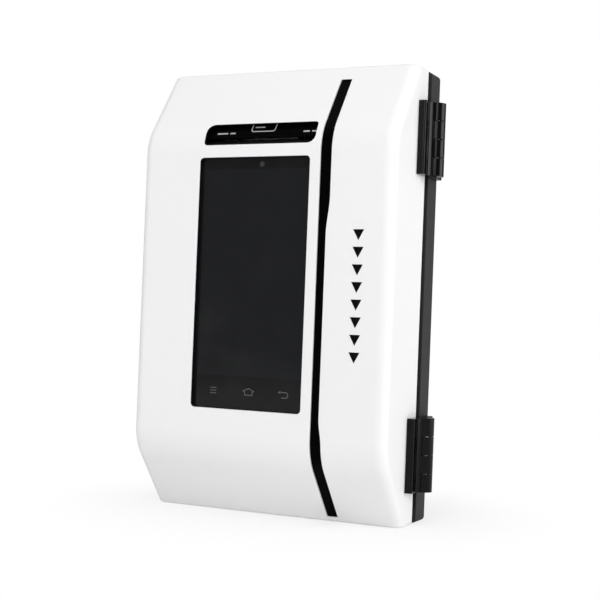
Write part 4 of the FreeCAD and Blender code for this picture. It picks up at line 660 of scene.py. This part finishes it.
def on_lid(x, z, lift):
    """The point of the lid's skin straight behind (x, z), lifted off it."""
    start = LID_INVERSE @ Vector((x, BEFORE_LID, z))
    way = LID_INVERSE.to_3x3() @ Vector((0, 1, 0))
    hit, place, normal, _ = LID.ray_cast(start, way)
    if not hit:
        raise ValueError("no lid behind " + str((x, z)))
    return LID.matrix_world @ (place + normal * lift)


def laid_bars(outlines):
    """Thin plates over four-cornered outlines, bent onto the lid."""
    parts = []
    for corners in outlines:
        low = [on_lid(x, z, PRINT_LOW) for x, z in corners]
        high = [on_lid(x, z, PRINT_HIGH) for x, z in corners]
        parts.append((high + low, [(0, 1, 2, 3), (7, 6, 5, 4), (0, 4, 5, 1), (1, 5, 6, 2),
                                   (2, 6, 7, 3), (3, 7, 4, 0)]))
    return merged(parts)


def fine_steps(points, longest=MM):
    """The same line with points added so that no step is longer than given."""
    out = [points[0]]
    for (x0, z0), (x1, z1) in zip(points, points[1:]):
        count = max(1, math.ceil(math.dist((x0, z0), (x1, z1)) / longest))
        out += [(x0 + (x1 - x0) * i / count, z0 + (z1 - z0) * i / count)
                for i in range(1, count + 1)]
    return out


# %% [markdown]
# ## Marks on the lid
#
# The lid shows where a card is held.  The marks are generic: a plain card outline
# with a short line in it, and a pair of bars on each side.

# %% Marks on the lid
CARD_X, CARD_Z = -0.0040, 0.0982
CARD_W, CARD_H, CARD_R = 0.0155, 0.0098, 0.0016
LINE_Z = CARD_Z - 0.0022
BARS_Z = 0.0925
BARS = ((-0.0340, -0.0270), (-0.0255, -0.0220), (0.0225, 0.0265), (0.0280, 0.0310))
OUTLINE_WIDTH, LINE_WIDTH, BAR_WIDTH = 0.6 * MM, 0.7 * MM, 0.9 * MM

card = []
for sx, sz, turn_start in ((1, 1, 0), (-1, 1, 90), (-1, -1, 180), (1, -1, 270)):
    card += arc(CARD_X + sx * (CARD_W / 2 - CARD_R), CARD_Z + sz * (CARD_H / 2 - CARD_R),
                CARD_R, turn_start, turn_start + 90, 6)
card.append(card[0])
marks = stroke(fine_steps(card), OUTLINE_WIDTH)
marks += stroke(fine_steps([(CARD_X - 0.0058, LINE_Z), (CARD_X + 0.0006, LINE_Z)]), LINE_WIDTH)
for left, right in BARS:
    marks += stroke(fine_steps([(left, BARS_Z), (right, BARS_Z)]), BAR_WIDTH)
lid_marks = mesh_object("lid_print", *laid_bars(marks))
MARK_FINISH = plain_finish("white_print", (0.42, 0.42, 0.43), 0.5, grain=2500, wear=0.1,
                           grain_depth=0.00001, edge=0.00002, specular=0.2)
finish_piece(lid_marks, MARK_FINISH, BODY_OF["printer_lid"])

# %% [markdown]
# ## One screw
#
# Screws repeat, so one screw is modelled and a node tree sets it on points.  The
# screw is a turned head with a domed top, a cross recess cut with a boolean, and
# a shank with a shallow thread.  A thumbscrew has a tall head with grooves.

# %% One screw
THREAD_PITCH = 0.5 * MM
PLAIN_STEPS, GRIP_STEPS = 40, 72
RECESS_ARM, RECESS_WIDTH, RECESS_DEPTH = 0.55, 0.13, 0.55
RECESS_TAPER = 0.75


def head_outline(head_r, head_h, grip):
    """The rim of a head and the dome over it, as (radius, height)."""
    if grip:
        return ([(head_r, 0.2 * MM), (head_r, head_h - 0.3 * MM)],
                [(head_r * 0.93, head_h), (head_r * 0.5, head_h)])
    return ([(head_r, 0.0), (head_r, head_h * 0.55)],
            [(head_r * 0.93, head_h * 0.82), (head_r * 0.75, head_h * 0.95),
             (head_r * 0.45, head_h)])


def shank_outline(shank_r, shank_l):
    """The tip, the thread's ridges and the neck, as (radius, height)."""
    thread = []
    for ridge in range(int(shank_l / THREAD_PITCH) - 1):
        z = -shank_l + THREAD_PITCH * (ridge + 0.5)
        thread += [(shank_r * 0.86, z), (shank_r * 0.99, z + THREAD_PITCH * 0.5)]
    return [(shank_r * 0.6, -shank_l)] + thread + [(shank_r * 0.9, 0.0)]


def recess_cutter(name, head_r, head_h):
    """A cross that narrows downwards."""
    arm, thin = head_r * RECESS_ARM, head_r * RECESS_WIDTH
    cross = [(arm, -thin), (arm, thin), (thin, thin), (thin, arm), (-thin, arm), (-thin, thin),
             (-arm, thin), (-arm, -thin), (-thin, -thin), (-thin, -arm), (thin, -arm), (thin, -thin)]
    top, low = head_h + MM, head_h - head_h * RECESS_DEPTH
    count = len(cross)
    vertices = [(x * RECESS_TAPER, y * RECESS_TAPER, low) for x, y in cross]
    vertices += [(x, y, top) for x, y in cross]
    faces = [tuple(range(count - 1, -1, -1)), tuple(range(count, 2 * count))]
    for i in range(count):
        j = (i + 1) % count
        faces.append((i, j, j + count, i + count))
    return mesh_object(name + "_cutter", vertices, faces)


def screw_mesh(name, head_r, head_h, shank_r, shank_l, grip=False):
    """A screw whose head starts at z = 0 and points to +Z; the shank runs to -Z."""
    steps = GRIP_STEPS if grip else PLAIN_STEPS
    rim, dome = head_outline(head_r, head_h, grip)
    shank = shank_outline(shank_r, shank_l)
    profile = shank + rim + dome
    vertices = []
    for number, (r, z) in enumerate(profile):
        on_rim = len(shank) <= number < len(shank) + len(rim)
        for i in range(steps):
            radius = r * 0.95 if grip and on_rim and i % 2 else r
            angle = 2 * math.pi * i / steps
            vertices.append((radius * math.cos(angle), radius * math.sin(angle), z))
    screw = mesh_object(name, vertices, ring_faces(len(profile), steps))
    cutter = recess_cutter(name, head_r, head_h)
    cut = screw.modifiers.new("recess", "BOOLEAN")
    cut.operation = "DIFFERENCE"
    cut.solver = "EXACT"
    cut.object = cutter
    evaluated = screw.evaluated_get(bpy.context.evaluated_depsgraph_get())
    mesh = bpy.data.meshes.new_from_object(evaluated)
    mesh.shade_smooth()
    mesh.set_sharp_from_angle(angle=math.radians(35))
    bpy.data.objects.remove(cutter)
    bpy.data.objects.remove(screw)
    return mesh


# %% [markdown]
# ## Running a node tree
#
# Both trees below start and end alike: the named inputs come in on the left, and
# the result is made into real mesh and painted on the right.  A tree runs on a
# point mesh or a line mesh, and its result is kept as a plain object.

# %% Tree tools


def new_tree(name, sockets):
    """A geometry tree with a geometry input, the named inputs and a geometry output."""
    tree = bpy.data.node_groups.new(name, "GeometryNodeTree")
    tree.interface.new_socket("Geometry", in_out="INPUT", socket_type="NodeSocketGeometry")
    for socket_name, kind in sockets:
        tree.interface.new_socket(socket_name, in_out="INPUT", socket_type=kind)
    tree.interface.new_socket("Geometry", in_out="OUTPUT", socket_type="NodeSocketGeometry")
    return tree, tree.nodes.new("NodeGroupInput")


def close_tree(tree, start, result):
    """Real mesh, painted with the Finish input, goes to the output."""
    realize = tree.nodes.new("GeometryNodeRealizeInstances")
    tree.links.new(result, realize.inputs["Geometry"])
    paint = tree.nodes.new("GeometryNodeSetMaterial")
    tree.links.new(realize.outputs["Geometry"], paint.inputs["Geometry"])
    tree.links.new(start.outputs["Finish"], paint.inputs["Material"])
    end = tree.nodes.new("NodeGroupOutput")
    tree.links.new(paint.outputs["Geometry"], end.inputs["Geometry"])


def settled(points, tree, name, values):
    """Runs the tree on a mesh and returns a plain object with the result."""
    carrier = bpy.data.objects.new(name + "_carrier", points)
    bpy.context.scene.collection.objects.link(carrier)
    modifier = carrier.modifiers.new("tree", "NODES")
    modifier.node_group = tree
    for item in tree.interface.items_tree:
        if item.in_out == "INPUT" and item.name in values:
            modifier[item.identifier] = values[item.name]
    carrier.update_tag()
    bpy.context.view_layer.update()
    evaluated = carrier.evaluated_get(bpy.context.evaluated_depsgraph_get())
    mesh = bpy.data.meshes.new_from_object(evaluated)
    mesh.name = name
    bpy.data.objects.remove(carrier)
    obj = bpy.data.objects.new(name, mesh)
    bpy.context.scene.collection.objects.link(obj)
    return obj


# %% [markdown]
# ## A tree that sets fasteners
#
# The tree puts a copy of the screw on each point and faces it the right way.  It
# then turns every copy about its own axis by a random angle from a fixed seed,
# because no fitter lines the recesses up.

# %% Fastener tree
screw_tree, start = new_tree("set_of_fasteners", (
    ("Fastener", "NodeSocketObject"), ("Facing", "NodeSocketVector"),
    ("Seed", "NodeSocketInt"), ("Finish", "NodeSocketMaterial")))
link = screw_tree.links.new
source = screw_tree.nodes.new("GeometryNodeObjectInfo")
source.inputs["As Instance"].default_value = True
link(start.outputs["Fastener"], source.inputs["Object"])
place = screw_tree.nodes.new("GeometryNodeInstanceOnPoints")
link(start.outputs["Geometry"], place.inputs["Points"])
link(source.outputs["Geometry"], place.inputs["Instance"])
link(start.outputs["Facing"], place.inputs["Rotation"])
chance = screw_tree.nodes.new("FunctionNodeRandomValue")
chance.data_type = "FLOAT"
chance.inputs[2].default_value = 0.0
chance.inputs[3].default_value = math.tau
link(start.outputs["Seed"], chance.inputs["Seed"])
spin = screw_tree.nodes.new("ShaderNodeCombineXYZ")
link(chance.outputs[1], spin.inputs["Z"])
turn_each = screw_tree.nodes.new("GeometryNodeRotateInstances")
link(place.outputs["Instances"], turn_each.inputs["Instances"])
link(spin.outputs["Vector"], turn_each.inputs["Rotation"])
turn_each.inputs["Local Space"].default_value = True
close_tree(screw_tree, start, turn_each.outputs["Instances"])

# %% [markdown]
# ## Where the screws sit
#
# The places of the screws come from the frame itself: each separate solid of a
# screw node is one screw, and its box says where the head starts.

# %% Boxes of separate solids
WELD = 0.000002


def islands(node):
    """Boxes (low, high) of the separate solids of a node."""
    grid = bmesh.new()
    grid.from_mesh(NODES[node].data)
    bmesh.ops.remove_doubles(grid, verts=grid.verts, dist=WELD)
    reached = set()
    boxes = []
    world_of = NODES[node].matrix_world
    for vertex in grid.verts:
        if vertex.index in reached:
            continue
        reached.add(vertex.index)
        waiting = [vertex]
        points = []
        while waiting:
            here = waiting.pop()
            points.append(world_of @ here.co)
            for edge in here.link_edges:
                other = edge.other_vert(here)
                if other.index not in reached:
                    reached.add(other.index)
                    waiting.append(other)
        boxes.append((Vector(min(p[i] for p in points) for i in range(3)),
                      Vector(max(p[i] for p in points) for i in range(3))))
    grid.free()
    return boxes


# %% [markdown]
# ## Setting the screws
#
# Each row names a node of the frame, the axis and the way its heads face, the
# height of a head, the radius of a shank, whether the head has a grip, and a seed.

# %% Set the screws
SCREWS = (
    ("hinge_screws_cover", 0, -1, 0.0018, 0.0015, False, 3),
    ("hinge_screws_tray", 0, -1, 0.0018, 0.0015, False, 5),
    ("cradle_screws", 1, -1, 0.0022, 0.0020, False, 7),
    ("bracket_screws", 1, -1, 0.0020, 0.0015, False, 11),
    ("keeper_screw", 1, -1, 0.0020, 0.0015, False, 13),
    ("lock_cam_screw", 0, 1, 0.0016, 0.0015, False, 17),
    ("cradle_thumbscrews", 0, -1, 0.0040, 0.0015, True, 19),
)
FACING = {
    (0, -1): (0, -math.pi / 2, 0),
    (0, 1): (0, math.pi / 2, 0),
    (1, -1): (math.pi / 2, 0, 0),
}


def set_screws(node_name, axis, sign, head_h, shank_r, grip, seed):
    """Replaces the plain screws of one node by finer ones."""
    boxes = islands(node_name)
    low, high = boxes[0]
    across = 1 if axis == 0 else 0
    head_r = (high[across] - low[across]) / 2
    length = high[axis] - low[axis]
    shape = screw_mesh(node_name + "_one", head_r, head_h, shank_r, length - head_h, grip)
    one = bpy.data.objects.new(node_name + "_one", shape)
    bpy.context.scene.collection.objects.link(one)
    seats = []
    for low, high in boxes:
        seat = (low + high) / 2
        seat[axis] = low[axis] + head_h if sign < 0 else high[axis] - head_h
        seats.append(tuple(seat))
    points = bpy.data.meshes.new(node_name + "_seats")
    points.from_pydata(seats, [], [])
    finish_of = FINISHES[SLOT_OF[node_name]]
    piece = settled(points, screw_tree, node_name + "_fine",
                    {"Fastener": one, "Facing": FACING[(axis, sign)], "Seed": seed,
                     "Finish": finish_of})
    bpy.data.objects.remove(one)
    finish_piece(piece, finish_of, BODY_OF[node_name], (node_name,))


for row in SCREWS:
    set_screws(*row)

# %% [markdown]
# ## A tree that sweeps a seal
#
# A door seal is an extrusion: one cross-section, drawn once, that a node tree
# sweeps along a rounded rectangle.

# %% Seal tree
CORNER_STEPS = 8
seal_tree, start = new_tree("swept_seal", (
    ("Section", "NodeSocketObject"), ("Corner Radius", "NodeSocketFloat"),
    ("Finish", "NodeSocketMaterial")))
link = seal_tree.links.new
path = seal_tree.nodes.new("GeometryNodeMeshToCurve")
link(start.outputs["Geometry"], path.inputs["Mesh"])
soften = seal_tree.nodes.new("GeometryNodeFilletCurve")
soften.mode = "POLY"
soften.inputs["Count"].default_value = CORNER_STEPS
link(path.outputs["Curve"], soften.inputs["Curve"])
link(start.outputs["Corner Radius"], soften.inputs["Radius"])
upright = seal_tree.nodes.new("GeometryNodeSetCurveNormal")
upright.mode = "Z_UP"
link(soften.outputs["Curve"], upright.inputs["Curve"])
section_in = seal_tree.nodes.new("GeometryNodeObjectInfo")
link(start.outputs["Section"], section_in.inputs["Object"])
section_path = seal_tree.nodes.new("GeometryNodeMeshToCurve")
link(section_in.outputs["Geometry"], section_path.inputs["Mesh"])
sweep = seal_tree.nodes.new("GeometryNodeCurveToMesh")
link(upright.outputs["Curve"], sweep.inputs["Curve"])
link(section_path.outputs["Curve"], sweep.inputs["Profile Curve"])
close_tree(seal_tree, start, sweep.outputs["Mesh"])

# %% [markdown]
# ## The seal
#
# The section has a foot held in the tray and two soft lips with a groove between
# them.  Its pairs are millimetres: how far in from the tray's edge, and how far
# forward of the wall.  It is swept lying down and then stood up.

# %% Seal
SECTION = (
    (3.0, 16.3), (5.5, 16.3), (5.5, 19.6), (5.35, 21.2), (4.9, 21.9), (4.4, 22.1),
    (3.95, 21.8), (3.75, 20.9), (3.5, 20.6), (3.25, 20.9), (3.0, 21.7), (2.5, 22.0),
    (1.9, 21.6), (1.55, 20.6), (1.5, 19.0), (1.5, 17.3), (3.0, 17.3),
)
SEAL_INSET = 1.5
SEAL_CORNER = 3.0 * MM
seal_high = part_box("gasket")[1]
seal_foot = -seal_high[1] / MM


def line_mesh(name, points):
    """A closed line through points, as a mesh of edges."""
    count = len(points)
    mesh = bpy.data.meshes.new(name)
    mesh.from_pydata(points, [(i, (i + 1) % count) for i in range(count)], [])
    return mesh


section_mesh = line_mesh("seal_section", [((SEAL_INSET - inset) * MM, (deep - seal_foot) * MM, 0)
                                          for inset, deep in SECTION])
section_holder = bpy.data.objects.new("seal_section", section_mesh)
bpy.context.scene.collection.objects.link(section_holder)
corners = [(sx * seal_high[0], sz * seal_high[2], 0)
           for sx, sz in ((1, 1), (-1, 1), (-1, -1), (1, -1))]
seal = settled(line_mesh("seal_path", corners), seal_tree, "door_seal",
               {"Section": section_holder, "Corner Radius": SEAL_CORNER,
                "Finish": FINISHES["seal"]})
bpy.data.objects.remove(section_holder)
for vertex in seal.data.vertices:
    x, y, z = vertex.co
    vertex.co = (x, -z - seal_foot * MM, y)
outward = bmesh.new()
outward.from_mesh(seal.data)
bmesh.ops.recalc_face_normals(outward, faces=outward.faces)
outward.to_mesh(seal.data)
outward.free()
seal.data.shade_smooth()
seal.data.set_sharp_from_angle(angle=math.radians(50))
finish_piece(seal, FINISHES["seal"], BODY_OF["gasket"], ("gasket",))
